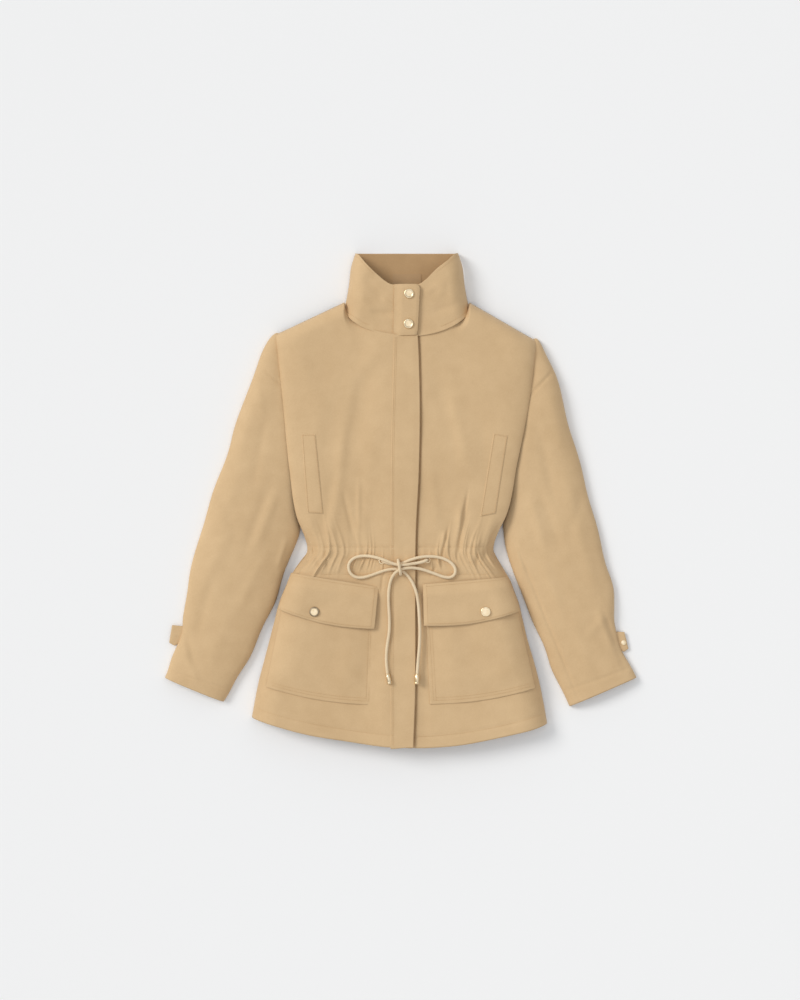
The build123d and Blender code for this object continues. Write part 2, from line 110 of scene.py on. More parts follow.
# %% Node groups: twill weave and washed shade
def new_group(name, inputs, outputs):
    """An empty node group with float or vector sockets."""
    tree = bpy.data.node_groups.new(name, "ShaderNodeTree")
    for title, kind, value in inputs:
        socket = tree.interface.new_socket(name=title, in_out="INPUT", socket_type=kind)
        if value is not None:
            socket.default_value = value
    for title in outputs:
        tree.interface.new_socket(name=title, in_out="OUTPUT", socket_type="NodeSocketFloat")
    return tree, tree.nodes.new("NodeGroupInput"), tree.nodes.new("NodeGroupOutput")


def math_node(tree, operation, first, second=None):
    """One Math node, fed by sockets or plain numbers."""
    node = tree.nodes.new("ShaderNodeMath")
    node.operation = operation
    for slot, value in ((0, first), (1, second)):
        if value is None:
            continue
        if isinstance(value, (int, float)):
            node.inputs[slot].default_value = value
        else:
            tree.links.new(value, node.inputs[slot])
    return node.outputs[0]


def noise_node(tree, vector, scale, detail=2.0, roughness=0.5):
    """Noise on the given coordinates, as a value around one half."""
    node = tree.nodes.new("ShaderNodeTexNoise")
    node.inputs["Scale"].default_value = scale
    node.inputs["Detail"].default_value = detail
    node.inputs["Roughness"].default_value = roughness
    tree.links.new(vector, node.inputs["Vector"])
    return node.outputs["Fac"]


def build_twill():
    """Twill: slanted ribs crossed by fine threads, height = ribs x threads, broken up by noise."""
    tree, given, out = new_group(
        "twill_weave",
        [("Vector", "NodeSocketVector", None), ("Pitch", "NodeSocketFloat", 900.0)],
        ["Height", "Thread"])
    split = tree.nodes.new("ShaderNodeSeparateXYZ")
    tree.links.new(given.outputs["Vector"], split.inputs[0])
    x, y, z = split.outputs
    across = math_node(tree, "MULTIPLY", math_node(tree, "ADD", x, z), given.outputs["Pitch"])
    along = math_node(tree, "MULTIPLY", y, given.outputs["Pitch"])
    rib = math_node(tree, "SINE", math_node(tree, "MULTIPLY", math_node(tree, "ADD", across, along), 4.4))
    thread = math_node(tree, "SINE", math_node(tree, "MULTIPLY", along, 11.0))
    slub = noise_node(tree, given.outputs["Vector"], 1500.0, 1.0)
    both = math_node(tree, "ADD", math_node(tree, "MULTIPLY", rib, 0.32),
                     math_node(tree, "MULTIPLY", thread, 0.13))
    height = math_node(tree, "ADD", both, slub)
    tree.links.new(height, out.inputs["Height"])
    tree.links.new(slub, out.inputs["Thread"])
    return tree


def build_wash():
    """Washed shade: cloud-like noise at three sizes, added up to one mask from 0 to 1."""
    tree, given, out = new_group(
        "washed_shade",
        [("Vector", "NodeSocketVector", None), ("Size", "NodeSocketFloat", 1.0)],
        ["Shade"])
    scaled = tree.nodes.new("ShaderNodeVectorMath")
    scaled.operation = "SCALE"
    tree.links.new(given.outputs["Vector"], scaled.inputs[0])
    tree.links.new(given.outputs["Size"], scaled.inputs["Scale"])
    total = None
    for scale, share in ((7.0, 0.45), (42.0, 0.33), (420.0, 0.22)):
        part = math_node(tree, "MULTIPLY", noise_node(tree, scaled.outputs[0], scale, 3.0), share)
        total = part if total is None else math_node(tree, "ADD", total, part)
    tree.links.new(total, out.inputs["Shade"])
    return tree


TWILL = build_twill()
WASH = build_wash()
print("node groups", [group.name for group in bpy.data.node_groups])

# %% [markdown]
# ## Cloth and metal
# The coat is a washed cotton twill in camel, with a little sheen from its loose fibres and a shade that
# wanders slowly. Its caps and cord ends are pale gold plate, dulled by handling, and the left pocket snap
# is a greyer, darker brass, which is painted shade. A tile of painted cloth would repeat and blur close
# up. Noise and waves on Object coordinates do neither, and each finish is then two tones, a roughness and
# the pitch of a weave.


# %% Materials of cloth and metal
def srgb(red, green, blue):
    """A colour as a painter reads it, 0 to 255, turned into linear light."""
    c = np.array([red, green, blue]) / 255.0
    return [float(v) for v in np.where(c <= 0.04045, c / 12.92, ((c + 0.055) / 1.055) ** 2.4)] + [1.0]


def new_material(name):
    """A material with its shader, and Object coordinates ready for patterns."""
    material = bpy.data.materials.new(name)
    material.use_nodes = True
    tree = material.node_tree
    shader = tree.nodes["Principled BSDF"]
    place = tree.nodes.new("ShaderNodeTexCoord").outputs["Object"]
    return material, tree, shader, place


def shade_mix(tree, mask, dark, light):
    """Colour between two tones, picked by a mask that stays near one half."""
    ramp = tree.nodes.new("ShaderNodeValToRGB")
    ramp.color_ramp.elements[0].position = 0.34
    ramp.color_ramp.elements[0].color = dark
    ramp.color_ramp.elements[1].position = 0.66
    ramp.color_ramp.elements[1].color = light
    tree.links.new(mask, ramp.inputs["Fac"])
    return ramp.outputs["Color"]


def bump(tree, shader, height, strength, distance):
    """A Bump node into the shader's normal."""
    node = tree.nodes.new("ShaderNodeBump")
    node.inputs["Strength"].default_value = strength
    node.inputs["Distance"].default_value = distance
    tree.links.new(height, node.inputs["Height"])
    tree.links.new(node.outputs["Normal"], shader.inputs["Normal"])


def cloth_material(name, dark, light, roughness=0.78, sheen=0.12, pitch=900.0, depth=0.00012):
    """Cotton: washed shade for colour, twill for relief, a little sheen from the loose fibres."""
    material, tree, shader, place = new_material(name)
    wash = tree.nodes.new("ShaderNodeGroup")
    wash.node_tree = WASH
    twill = tree.nodes.new("ShaderNodeGroup")
    twill.node_tree = TWILL
    twill.inputs["Pitch"].default_value = pitch
    tree.links.new(place, wash.inputs["Vector"])
    tree.links.new(place, twill.inputs["Vector"])
    mask = math_node(tree, "ADD", math_node(tree, "MULTIPLY", wash.outputs["Shade"], 0.8),
                     math_node(tree, "MULTIPLY", twill.outputs["Thread"], 0.2))
    tree.links.new(shade_mix(tree, mask, dark, light), shader.inputs["Base Color"])
    rough = math_node(tree, "ADD", math_node(tree, "MULTIPLY", wash.outputs["Shade"], 0.16), roughness - 0.08)
    tree.links.new(rough, shader.inputs["Roughness"])
    shader.inputs["Sheen Weight"].default_value = sheen
    shader.inputs["Sheen Roughness"].default_value = 0.4
    bump(tree, shader, twill.outputs["Height"], 0.6, depth)
    return material


def metal_material(name, dark, light, roughness):
    """Plated metal: fine brushing in the roughness and slight tarnish in the colour."""
    material, tree, shader, place = new_material(name)
    tarnish = noise_node(tree, place, 260.0, 4.0)
    scratch = noise_node(tree, place, 2600.0, 2.0)
    tree.links.new(shade_mix(tree, tarnish, dark, light), shader.inputs["Base Color"])
    shader.inputs["Metallic"].default_value = 1.0
    rough = math_node(tree, "ADD", math_node(tree, "MULTIPLY", scratch, 0.18), roughness - 0.09)
    tree.links.new(rough, shader.inputs["Roughness"])
    bump(tree, shader, scratch, 0.15, 0.00005)
    return material


# %% Finishes of the coat
SHELL = cloth_material("camel_cotton", srgb(203, 170, 126), srgb(219, 187, 143))
# A darker copy of the camel cotton for the inside of the back collar: painted shade where the rolled leaves
# stand over it.
SHELL_PAINTED_SHADE = cloth_material("camel_cotton_painted_shade", srgb(178, 142, 98), srgb(194, 158, 114))
LINING = cloth_material("lining_cotton", srgb(172, 138, 96), srgb(188, 154, 112), 0.6, 0.05, 1300.0, 0.00006)
THREAD = cloth_material("sewing_thread", srgb(196, 160, 112), srgb(214, 180, 134), 0.6, 0.2, 3000.0, 0.00005)
CORD = cloth_material("braided_cord", srgb(228, 202, 162), srgb(243, 222, 188), 0.7, 0.25, 2200.0, 0.0002)
TAPE = cloth_material("zip_tape_cotton", srgb(170, 136, 94), srgb(184, 150, 108), 0.8, 0.05, 1600.0, 0.00008)
LABEL = cloth_material("blank_label", srgb(176, 140, 96), srgb(192, 156, 112), 0.5, 0.1, 2600.0, 0.00004)
PALE_GOLD = metal_material("pale_gold", srgb(232, 208, 168), srgb(248, 230, 198), 0.34)
# A greyer, darker brass: the own colour of the zip and the eyelet washers, and painted shade on the left
# pocket cap.
DARK_BRASS_AND_PAINTED_SHADE = metal_material("antique_brass", srgb(154, 136, 112), srgb(180, 162, 136), 0.42)
FLOOR = bpy.data.materials.new("pale_paper")
FLOOR.use_nodes = True
paper = FLOOR.node_tree.nodes["Principled BSDF"]
paper.inputs["Base Color"].default_value = (0.93, 0.93, 0.93, 1.0)
paper.inputs["Roughness"].default_value = 0.9
print("materials", len(bpy.data.materials))

# %% Floor
floor_mesh = bpy.data.meshes.new("floor")
HALF_FLOOR = 40.0
floor_mesh.from_pydata([(-HALF_FLOOR, -HALF_FLOOR, 0), (HALF_FLOOR, -HALF_FLOOR, 0),
                        (HALF_FLOOR, HALF_FLOOR, 0), (-HALF_FLOOR, HALF_FLOOR, 0)], [], [(0, 1, 2, 3)])
floor_mesh.materials.append(FLOOR)
floor = bpy.data.objects.new("floor", floor_mesh)
scene.collection.objects.link(floor)

# %% [markdown]
# ## Grid surfaces
# A piece of cloth is a grid: its rows run up the coat, its columns across. numpy works out all the
# points at once, and `foreach_set` hands them to the mesh. Solidify then gives the cloth its thickness,
# which also rounds off its cut edges into a visible rim.


# %% Helpers: smooth outlines, grids and finishing
def smooth_line(stations, at):
    """Value between stations: a cubic through each pair, with slopes matched to the neighbours."""
    table = np.array(sorted(stations), dtype=float)
    p, v = table[:, 0], table[:, 1]
    slope = np.gradient(v, p)
    at = np.clip(np.asarray(at, dtype=float), p[0], p[-1])
    i = np.clip(np.searchsorted(p, at) - 1, 0, len(p) - 2)
    span = p[i + 1] - p[i]
    t = (at - p[i]) / span
    return (v[i] * (1 + 2 * t) * (1 - t) ** 2 + v[i + 1] * t * t * (3 - 2 * t)
            + span * (slope[i] * t * (1 - t) ** 2 - slope[i + 1] * t * t * (1 - t)))


def step(low, high, at):
    """0 below low, 1 above high, and a smooth S between."""
    t = np.clip((np.asarray(at, dtype=float) - low) / (high - low), 0, 1)
    return t * t * (3 - 2 * t)


def grid_object(name, points, ring=False):
    """A mesh of quads through points[row, column], in millimetres, with a UV map in metres.

    With ring=True the last column joins the first, as on a tube.
    """
    rows, cols = points.shape[:2]
    index = np.arange(rows * cols).reshape(rows, cols)
    if ring:
        index = np.concatenate([index, index[:, :1]], axis=1)
    quads = np.stack([index[:-1, :-1], index[:-1, 1:], index[1:, 1:], index[1:, :-1]], axis=-1).reshape(-1, 4)
    mesh = bpy.data.meshes.new(name)
    mesh.vertices.add(rows * cols)
    mesh.vertices.foreach_set("co", (points.reshape(-1, 3) * MM).astype(np.float32).ravel())
    mesh.loops.add(quads.size)
    mesh.polygons.add(len(quads))
    mesh.polygons.foreach_set("loop_start", np.arange(0, quads.size, 4, dtype=np.int32))
    mesh.loops.foreach_set("vertex_index", quads.astype(np.int32).ravel())
    mesh.polygons.foreach_set("use_smooth", np.ones(len(quads), dtype=bool))
    closed = np.concatenate([points, points[:, :1]], axis=1) if ring else points
    across = np.cumsum(np.linalg.norm(np.diff(closed, axis=1, prepend=closed[:, :1]), axis=2), axis=1)
    along = np.cumsum(np.linalg.norm(np.diff(closed, axis=0, prepend=closed[:1]), axis=2), axis=0)
    u = np.stack([across[:-1, :-1], across[:-1, 1:], across[1:, 1:], across[1:, :-1]], axis=-1)
    v = np.stack([along[:-1, :-1], along[:-1, 1:], along[1:, 1:], along[1:, :-1]], axis=-1)
    uv = mesh.uv_layers.new(name="cloth")
    uv.data.foreach_set("uv", (np.stack([u, v], axis=-1) * MM).astype(np.float32).ravel())
    mesh.update(calc_edges=True)
    mesh.validate()
    thing = bpy.data.objects.new(name, mesh)
    scene.collection.objects.link(thing)
    print(name, rows, "rows of", cols, "points")
    return thing


def thicken(thing, thickness):
    """Solidify inwards from the drawn face, in millimetres, so the cloth has a real edge."""
    solid = thing.modifiers.new("thickness", "SOLIDIFY")
    solid.thickness = thickness * MM
    solid.offset = -1.0
    solid.use_even_offset = False


def dress(thing, material, body, slot, *nodes):
    """Gives a piece its material and its body, and hides the CAD nodes it stands for.
    slot is not used.
    """
    thing.data.materials.append(material)
    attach(thing, body)
    if nodes:
        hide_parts(*nodes)
    return thing


def bend_cloth(thing, body, ends, *nodes):
    """Gives a piece the shell cloth, hides the CAD nodes it stands for and bakes its place into its points.
    body and ends are not used.
    """
    thing.data.materials.append(SHELL)
    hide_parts(*nodes)
    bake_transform(thing)


# %% [markdown]
# ## Folds, ripples and gathers
# Cloth is never flat. A fold is a soft ridge or valley along a line; ripples are the faint unevenness of
# worn cotton; gathers are the many small ridges that fan out where the drawcord pulls the waist in.


# %% Helpers: folds, ripples and gathers
def folds(x, y, lines):
    """Height of soft folds: along each line, a bell curve across it that fades at both ends."""
    total = np.zeros_like(x)
    for x0, y0, x1, y1, width, height in lines:
        run = np.array([x1 - x0, y1 - y0], dtype=float)
        length = np.hypot(*run)
        run /= length
        along = (x - x0) * run[0] + (y - y0) * run[1]
        across = (x - x0) * -run[1] + (y - y0) * run[0]
        fade = step(-0.12 * length, 0.3 * length, along) * (1 - step(0.7 * length, 1.12 * length, along))
        total += height * np.exp(-(across / width) ** 2) * fade
    return total


def ripple(x, y, size, seed, waves=14):
    """Faint unevenness: the mean of many long waves in seeded random directions."""
    rng = np.random.default_rng(seed)
    total = np.zeros_like(x)
    for _ in range(waves):
        angle, phase = rng.uniform(0, 2 * math.pi, 2)
        wave = 2 * math.pi / (size * rng.uniform(0.6, 1.7))
        total += np.sin((x * math.cos(angle) + y * math.sin(angle)) * wave + phase)
    return total / math.sqrt(waves)


WAIST_Y = -98.0
CASING_Y, CASING_HALF = -97.0, 22.0


def gathers(share, y, seed):
    """Gathers at the waist: ridges along lines of equal share of the width, so they fan out."""
    rng = np.random.default_rng(seed)
    total = np.zeros_like(share)
    offset = y - WAIST_Y
    places = np.linspace(0.16, 1.0, 21) + rng.uniform(-0.02, 0.02, 21)
    for place in places:
        outer = 0.25 + 0.8 * max(place - 0.3, 0.0)
        up, down = rng.uniform(8, 44) * (0.6 + outer), rng.uniform(8, 30)
        width, height = rng.uniform(0.006, 0.017), rng.uniform(0.25, 1.0) ** 1.7 * 6.0 * (0.22 + outer)
        bend = rng.uniform(-0.0008, 0.0008)
        reach = np.where(offset > 0, np.exp(-(offset / up) ** 2), np.exp(-(offset / down) ** 2))
        total += height * np.exp(-((share - place - bend * offset) / width) ** 2) * reach
    return total


# %% [markdown]
# ## Fronts and back
# Each front is cut as one piece from the zip to the side. Over the hips its side edge rolls down to meet
# the back, and from the waist up it lies over the sleeve. The height across the roll is a quarter of an
# ellipse, as a soft fold has.

# %% Outlines of the body, in millimetres
LEFT_SIDE = [(-352, 239), (-320, 233.5), (-288, 227), (-256, 219), (-224, 211), (-192, 203), (-160, 195),
             (-144, 189), (-128, 181), (-112, 172), (-98, 161), (-86, 151), (-76, 149.5), (-60, 153),
             (-30, 164.5), (45, 177), (155, 188), (266, 200)]
RIGHT_SIDE = [(-360, 237.5), (-320, 230.5), (-288, 224), (-256, 216), (-224, 206.5), (-192, 198.5),
              (-160, 190.5), (-144, 184), (-128, 177.5), (-112, 167), (-98, 157), (-86, 151), (-76, 151.5),
              (-62, 156), (-33, 169.5), (52, 188), (134, 204), (238, 217.5), (256, 219)]
HEM = [(-245, -348), (-239, -350), (-200, -362), (-150, -374.5), (-80, -387), (-20, -394), (25, -397),
       (80, -393.5), (130, -386.5), (190, -373), (238, -359.5), (245, -357)]
NECK_X, NECK_HALF, NECK_Y, NECK_DROP = 11.0, 100.0, 264.0, 54.4
BODY_TOP, SIDE_ROLL = 35.8, 44.0
DEEPEST_VALLEY = 2.2
ZIP_X, ZIP_EDGE = 3.5, 5.4
FLY_STITCH, FLY_TOP = -12.0, 41.0
SHOULDERS = {"left": (-200.0, 266.0), "right": (219.0, 256.0)}
FREE_EDGE = [(-396, 21), (-314, 24), (-160, 24.5), (-90, 24.5), (-60, 25), (45, 30), (160, 31.5), (208, 30.5),
             (240, 29.5), (266, 28)]


def hem_line(x):
    """The hem sags to its lowest point just right of the middle, and is nearly straight to each side."""
    return smooth_line(HEM, x)


def top_line(x, shoulder_x, shoulder_y):
    """Half an ellipse for the neck seam, then a straight shoulder."""
    t = np.abs(x - NECK_X) / NECK_HALF
    neck = NECK_Y + NECK_DROP * (1 - np.sqrt(1 - np.minimum(t, 1.0) ** 2))
    side = NECK_Y + NECK_DROP
    run = (np.abs(x - NECK_X) - NECK_HALF) / (abs(shoulder_x - NECK_X) - NECK_HALF)
    return np.where(t < 1, neck, side + (shoulder_y - side) * np.clip(run, 0, 1))


def roll(distance, radius):
    """0 at the folded side, 1 on the flat: a quarter of an ellipse."""
    t = np.clip(distance / radius, 0, 1)
    return np.sqrt(1 - (1 - t) ** 2)


def body_side(x, y):
    """Half width of the body at height y, on the side that x is on."""
    return np.where(x < 0, smooth_line(LEFT_SIDE, y), smooth_line(RIGHT_SIDE, y))


def side_low(y):
    """Height of the side edge: near the floor at the skirt, on the sleeve above the waist."""
    return 2.6 + 22.2 * step(-86, -26, y) * (1 - 0.34 * step(150, 262, y))


BODY_FOLDS = [
    (-52, 205, -88, 60, 16, -2.2), (-70, 190, -104, 40, 13, 2.0), (-100, 60, -128, -60, 10, -1.6),
    (-40, 120, -58, -40, 12, 1.2), (-86, 120, -112, -70, 9, 1.9), (-30, 250, -80, 180, 14, 1.5),
    (60, 200, 96, 70, 15, -1.9), (78, 180, 112, 40, 12, 1.9), (48, 60, 62, -60, 9, 1.3),
    (92, -6, 106, -86, 7, 2.2), (108, -10, 92, -84, 6, -1.7), (124, -62, 116, -100, 6, 2.2),
    (36, 250, 92, 190, 13, 1.4), (128, 130, 142, 20, 12, -1.3), (-132, 140, -138, 20, 13, 1.3),
    (-150, -20, -124, -86, 7, 2.0), (150, -26, 132, -86, 7, 1.8), (-118, -20, -96, -90, 7, 1.8),
    (70, -52, 74, -84, 5, 2.4), (-60, -20, -52, -84, 8, 1.8), (-160, 240, -120, 120, 16, 1.4),
    (-70, -330, -60, -180, 18, -1.0), (74, -350, 60, -200, 18, 1.0), (-20, -390, -24, -230, 14, 1.0),
    (108, 12, 91, -96, 2.4, -2.6), (101, 2, 85, -96, 5, 1.8), (77, -44, 66, -96, 2.2, -2.4),
    (71, -50, 61, -96, 4, 1.6), (158, -40, 137, -96, 2.4, -2.6), (151, -50, 131, -98, 2.2, -2.2),
    (126, -70, 122, -104, 2.0, -2.2), (-90, 12, -74, -60, 4, -1.8), (-66, 34, -66, -66, 4, 1.5),
    (-141, -74, -128, -108, 2.2, -2.4), (-150, -68, -147, -104, 2.0, -2.2),
    (-120, -82, -116, -112, 2.0, -2.2),
    (-26, -106, -30, -150, 2.2, -2.0), (-62, -104, -50, -122, 2.0, -2.0), (58, -104, 48, -122, 2.0, -2.0),
    (-150, -340, -160, -300, 16, 1.3), (160, -345, 168, -300, 15, 1.3), (44, -390, 36, -220, 10, -1.2),
]


def front_height(x, y):
    """Height of the front: side roll, folds, gathers and ripples added together."""
    half = body_side(x, y)
    low = side_low(y)
    rolled = roll(half - np.abs(x), SIDE_ROLL)
    flat = step(0.0, 0.75, rolled)
    share = np.abs(x) / half
    pull = np.where(x < 0, gathers(share, y, 5), gathers(share, y, 11))
    casing = np.abs(y - CASING_Y)
    channel = -1.1 * np.exp(-((casing - CASING_HALF) / 1.8) ** 2)
    hem_stitch = -0.8 * np.exp(-((y - hem_line(x) - 19.0) / 2.0) ** 2)
    wander = 0.42 * ripple(x, y, 70, 3) + 0.04 * ripple(x, y, 19, 4)
    calm = 1 - 0.8 * step(-140, -165, y) * step(34, 52, np.abs(x))
    extra = (folds(x, y, BODY_FOLDS) + wander) * calm + pull + channel + hem_stitch
    extra = np.where(extra < 0, DEEPEST_VALLEY * np.tanh(extra / DEEPEST_VALLEY), extra)
    to_fly = np.where(x < 0, FLY_TOP - BODY_TOP - 0.6, 0.6) * step(-70, -14, -np.abs(x))
    return low + (BODY_TOP - low) * rolled + to_fly + extra * (0.3 + 0.7 * flat)


# %% Fronts
def front_panel(side):
    """Rows from hem to shoulder; columns from the zip to the side, closer together on the roll.

    At the shoulder the cloth turns down to its seam in a quarter of an ellipse. The right front also
    dips in a bell curve beside the fly's free edge.
    """
    rows, flat_cols, roll_cols = 250, 96, 40
    shoulder = SHOULDERS["left"] if side < 0 else SHOULDERS["right"]
    hem_side = -352.0 if side < 0 else -360.0
    v = np.linspace(0, 1, rows)[:, None]
    y_side = hem_side + v * (shoulder[1] - hem_side)
    half = body_side(np.full_like(y_side, float(side)), y_side)
    inner = side * (ZIP_X + side * ZIP_EDGE)
    flat = np.linspace(0, 1, flat_cols)[None, :]
    angle = np.linspace(0, math.pi / 2, roll_cols + 1)[None, 1:]
    reach_flat = inner + (half - SIDE_ROLL - inner) * flat
    reach_roll = half - SIDE_ROLL + SIDE_ROLL * np.sin(angle)
    x = side * np.concatenate([reach_flat, reach_roll], axis=1)
    low, high = hem_line(x), top_line(x, *shoulder)
    wobble = 0.5 * np.sin(x / 19.0) * (1 - v) ** 6
    y = low + v * (high - low) + wobble
    z = front_height(x, y)
    shoulder_roll = roll(high - y + 1.0, 27.0)
    seam = step(66, 106, np.abs(x - NECK_X))
    seam_height = 3.0 + 4.0 * step(24, 8, abs(shoulder[0]) - np.abs(x))
    z = z + (seam_height - z) * (1 - shoulder_roll) * seam
    z = np.maximum(z, 2.6)
    if side > 0:
        z = z - 4.4 * np.exp(-((x - smooth_line(FREE_EDGE, y) - 0.5) / 1.7) ** 2)
    points = np.stack([x, y, z], axis=-1)
    return points if side > 0 else points[:, ::-1]


for word, side in (("left", -1), ("right", 1)):
    points = front_panel(side)
    panel = grid_object(f"front_{word}", points)
    thicken(panel, 1.1)
    dress(panel, SHELL, COAT, "shell_cotton", f"front_panel_{word}")

# %% Back panel, one sheet that lies on the floor
rows = 120
v = np.linspace(0, 1, rows)[:, None]
u = np.linspace(-1, 1, 121)[None, :]
y_side = -354 + v * (262 + 354)
tuck = 12.0 * step(-86, -40, y_side)
half = np.where(u < 0, smooth_line(LEFT_SIDE, y_side), smooth_line(RIGHT_SIDE, y_side)) - tuck - 1.5
x = u * half
low = hem_line(x) + 3.0
seam_line = np.where(x < 0, top_line(x, *SHOULDERS["left"]), top_line(x, *SHOULDERS["right"]))
high = np.where(np.abs(x - NECK_X) < NECK_HALF, NECK_Y + NECK_DROP, seam_line) - 1.0
y = low + v * (high - low)
edge = 1 - np.abs(u)
z = 1.6 + 0.9 * np.exp(-(edge / 0.012) ** 2) + 0 * y
points = np.stack(np.broadcast_arrays(x, y, z), axis=-1)
back = grid_object("back_panel_cloth", points)
thicken(back, 1.3)
dress(back, SHELL, COAT, "shell_cotton", "back_panel")

# %% [markdown]
# ## Sleeves
# A sleeve is a flattened tube. Pairs of points, one on its outer edge and one on its inner, give its
# outline from the shoulder to the cuff; the section between them is a low arch above and flat below.
# Its head goes in under the side of the front, as on a coat that is folded flat.

# %% Sleeve outlines: outer x, outer y, inner x, inner y
SLEEVES = {
    "left": [(-188, 266, -178, 236), (-203, 268, -186, 230), (-221, 240, -182, 186),
             (-240, 192, -179, 130), (-262.5, 128, -174, 74), (-277, 80, -169.6, 32),
             (-294.5, 32, -164.8, -5), (-310, -16, -161, -38), (-324.5, -62, -166.5, -66),
             (-337, -112, -187, -120), (-344, -147, -201.5, -163), (-348.5, -184, -219, -201.5),
             (-352, -210, -235, -237), (-362, -240, -250, -267), (-371, -264, -266, -293),
             (-380, -286, -285, -325)],
    "right": [(206, 256, 196, 228), (222, 259, 203, 220), (240, 227, 200, 180),
              (255, 188, 195, 122), (270.5, 128, 187, 68),
              (284, 80, 179.5, 28), (297.5, 32, 173, -9), (309, -13, 166.5, -41), (321.5, -60, 168.5, -69),
              (333, -104, 182.5, -113), (342.5, -138, 197, -155), (346.5, -168, 213, -192),
              (346, -201, 229, -229), (353.5, -232, 241.5, -264), (366.5, -258, 254.5, -293),
              (380.5, -286, 272.5, -332.5)],
}
SLEEVE_TOP = {"head": 14.5, "arm": 25.0, "cuff": 19.0}
SLEEVE_FOLDS = {
    "left": [(-226, 215, -188, 184, 1.9, -1.8), (-232, 170, -262, 60, 11, 2.0),
             (-214, 140, -236, 20, 9, -1.6), (-252, 60, -300, -60, 12, 1.6),
             (-196, 20, -232, -80, 8, 1.8), (-208, 30, -250, -90, 8, -1.5), (-268, -30, -322, -150, 12, 1.6),
             (-214, -80, -262, -180, 9, 1.4), (-300, -120, -330, -230, 9, -1.4),
             (-352, -226, -322, -300, 7, 1.6),
             (-344, -212, -330, -270, 6, -1.2), (-270, -170, -312, -280, 12, 1.1),
             (-230, 210, -220, 120, 8, 1.2),
             (-182, -60, -196, -110, 5, 1.6), (-290, 20, -262, -60, 9, -1.0)],
    "right": [(252, 213, 206, 166, 1.9, -1.8), (178, -50, 288, -322, 1.8, -1.6),
              (238, 180, 262, 70, 11, 1.9), (222, 120, 250, -10, 9, -1.6), (262, 60, 292, -70, 12, 1.7),
              (206, 10, 236, -90, 8, 1.8), (222, 20, 262, -90, 8, -1.4), (282, -40, 316, -150, 11, 1.5),
              (226, -90, 262, -190, 9, 1.4), (326, -178, 352, -240, 6, -2.4), (318, -176, 344, -244, 7, 1.8),
              (340, -176, 300, -220, 8, 1.2), (278, -180, 308, -290, 12, 1.1),
              (350, -240, 366, -276, 6, -1.5),
              (186, -70, 200, -120, 5, 1.6), (296, 20, 272, -60, 9, -1.0)],
}


def sleeve_shell(word, inset, shrink, rows=220, around=150):
    """Flattened tube: half an ellipse on top with soft corners, and a flat underside."""
    pairs = np.array(SLEEVES[word], dtype=float)
    at = np.arange(len(pairs))
    s = np.linspace(0, len(pairs) - 1, rows)
    line = [smooth_line(list(zip(at, pairs[:, k])), s)[:, None] for k in range(4)]
    outer_x, outer_y, inner_x, inner_y = line
    angle = np.linspace(0, 2 * math.pi, around, endpoint=False)[None, :]
    width = np.hypot(inner_x - outer_x, inner_y - outer_y)
    margin = inset / width
    across = margin + (0.5 - 0.5 * np.cos(angle)) * (1 - 2 * margin)
    share = (s / (len(pairs) - 1))[:, None]
    top = smooth_line([(0, 4.2), (0.05, SLEEVE_TOP["head"]), (0.14, SLEEVE_TOP["arm"] - 1),
                       (0.4, SLEEVE_TOP["arm"]), (1, SLEEVE_TOP["cuff"])], share) - shrink
    tucked = (1 - step(0.3, 0.46, share)) * step(0.5, 0.8, across)
    lift = np.sign(np.sin(angle)) * np.abs(np.sin(angle)) ** (0.72 - 0.5 * tucked)
    x = outer_x + (inner_x - outer_x) * across
    y = outer_y + (inner_y - outer_y) * across
    up = np.clip(lift, 0, 1)
    extra = folds(x, y, SLEEVE_FOLDS[word]) + 0.36 * ripple(x, y, 60, 21) + 0.04 * ripple(x, y, 15, 22)
    hem = -0.8 * np.exp(-(((1 - share) * 560 - 22.0) / 2.2) ** 2)
    z = 3.0 + shrink * 0.5 + (top - 3.0) * up + (extra + hem) * step(0.15, 0.8, up)
    under = np.clip(-lift, 0, 1)
    z = np.where(lift < 0, 3.0 + shrink * 0.5 - (2.85 - shrink * 0.3) * under ** 0.35, z)
    sway = 1.0 * np.sin(share * 40) * np.abs(np.cos(angle)) ** 6
    return np.stack([x + sway, y, z], axis=-1)


for word in ("left", "right"):
    points = sleeve_shell(word, 0.0, 0.0)
    tube = grid_object(f"sleeve_{word}", points if word == "right" else points[:, ::-1], ring=True)
    thicken(tube, 1.0)
    dress(tube, SHELL, COAT, "shell_cotton", f"sleeve_upper_{word}", f"sleeve_under_{word}")
    inner = sleeve_shell(word, 5.0, 3.4, 90, 72)[:-2]
    inner = inner if word == "right" else inner[:, ::-1]
    lining = grid_object(f"sleeve_lining_tube_{word}", inner, ring=True)
    thicken(lining, 0.5)
    dress(lining, LINING, COAT, "lining_cloth", f"sleeve_lining_{word}")

# %% [markdown]
# ## Collar
# The collar stands up when worn, so laid flat it is a flattened ring: its back lies on the floor, and
# its two leaves roll over from the sides and meet under the snap tab. Their top edges slope down to the
# front and leave the inside of the back in view.

# %% Collar back and leaves
rows, cols = 46, 90
v = np.linspace(0, 1, rows)[:, None]
u = np.linspace(-1, 1, cols)[None, :]
half = smooth_line([(0, 96), (0.3, 91), (0.7, 85.5), (1, 80.5)], v)
x = NECK_X + u * half
y = 316 + v * (397.5 - 316) + 0 * u
z = 1.9 + 1.2 * np.abs(u) ** 8 + 0.15 * ripple(x, y, 40, 31)
collar_back = grid_object("collar_back_cloth", np.stack(np.broadcast_arrays(x, y, z), axis=-1))
thicken(collar_back, 1.3)
# The back collar gets the darker copy of the cotton as painted shade.
dress(collar_back, SHELL_PAINTED_SHADE, COAT, "shell_cotton", "collar_back")

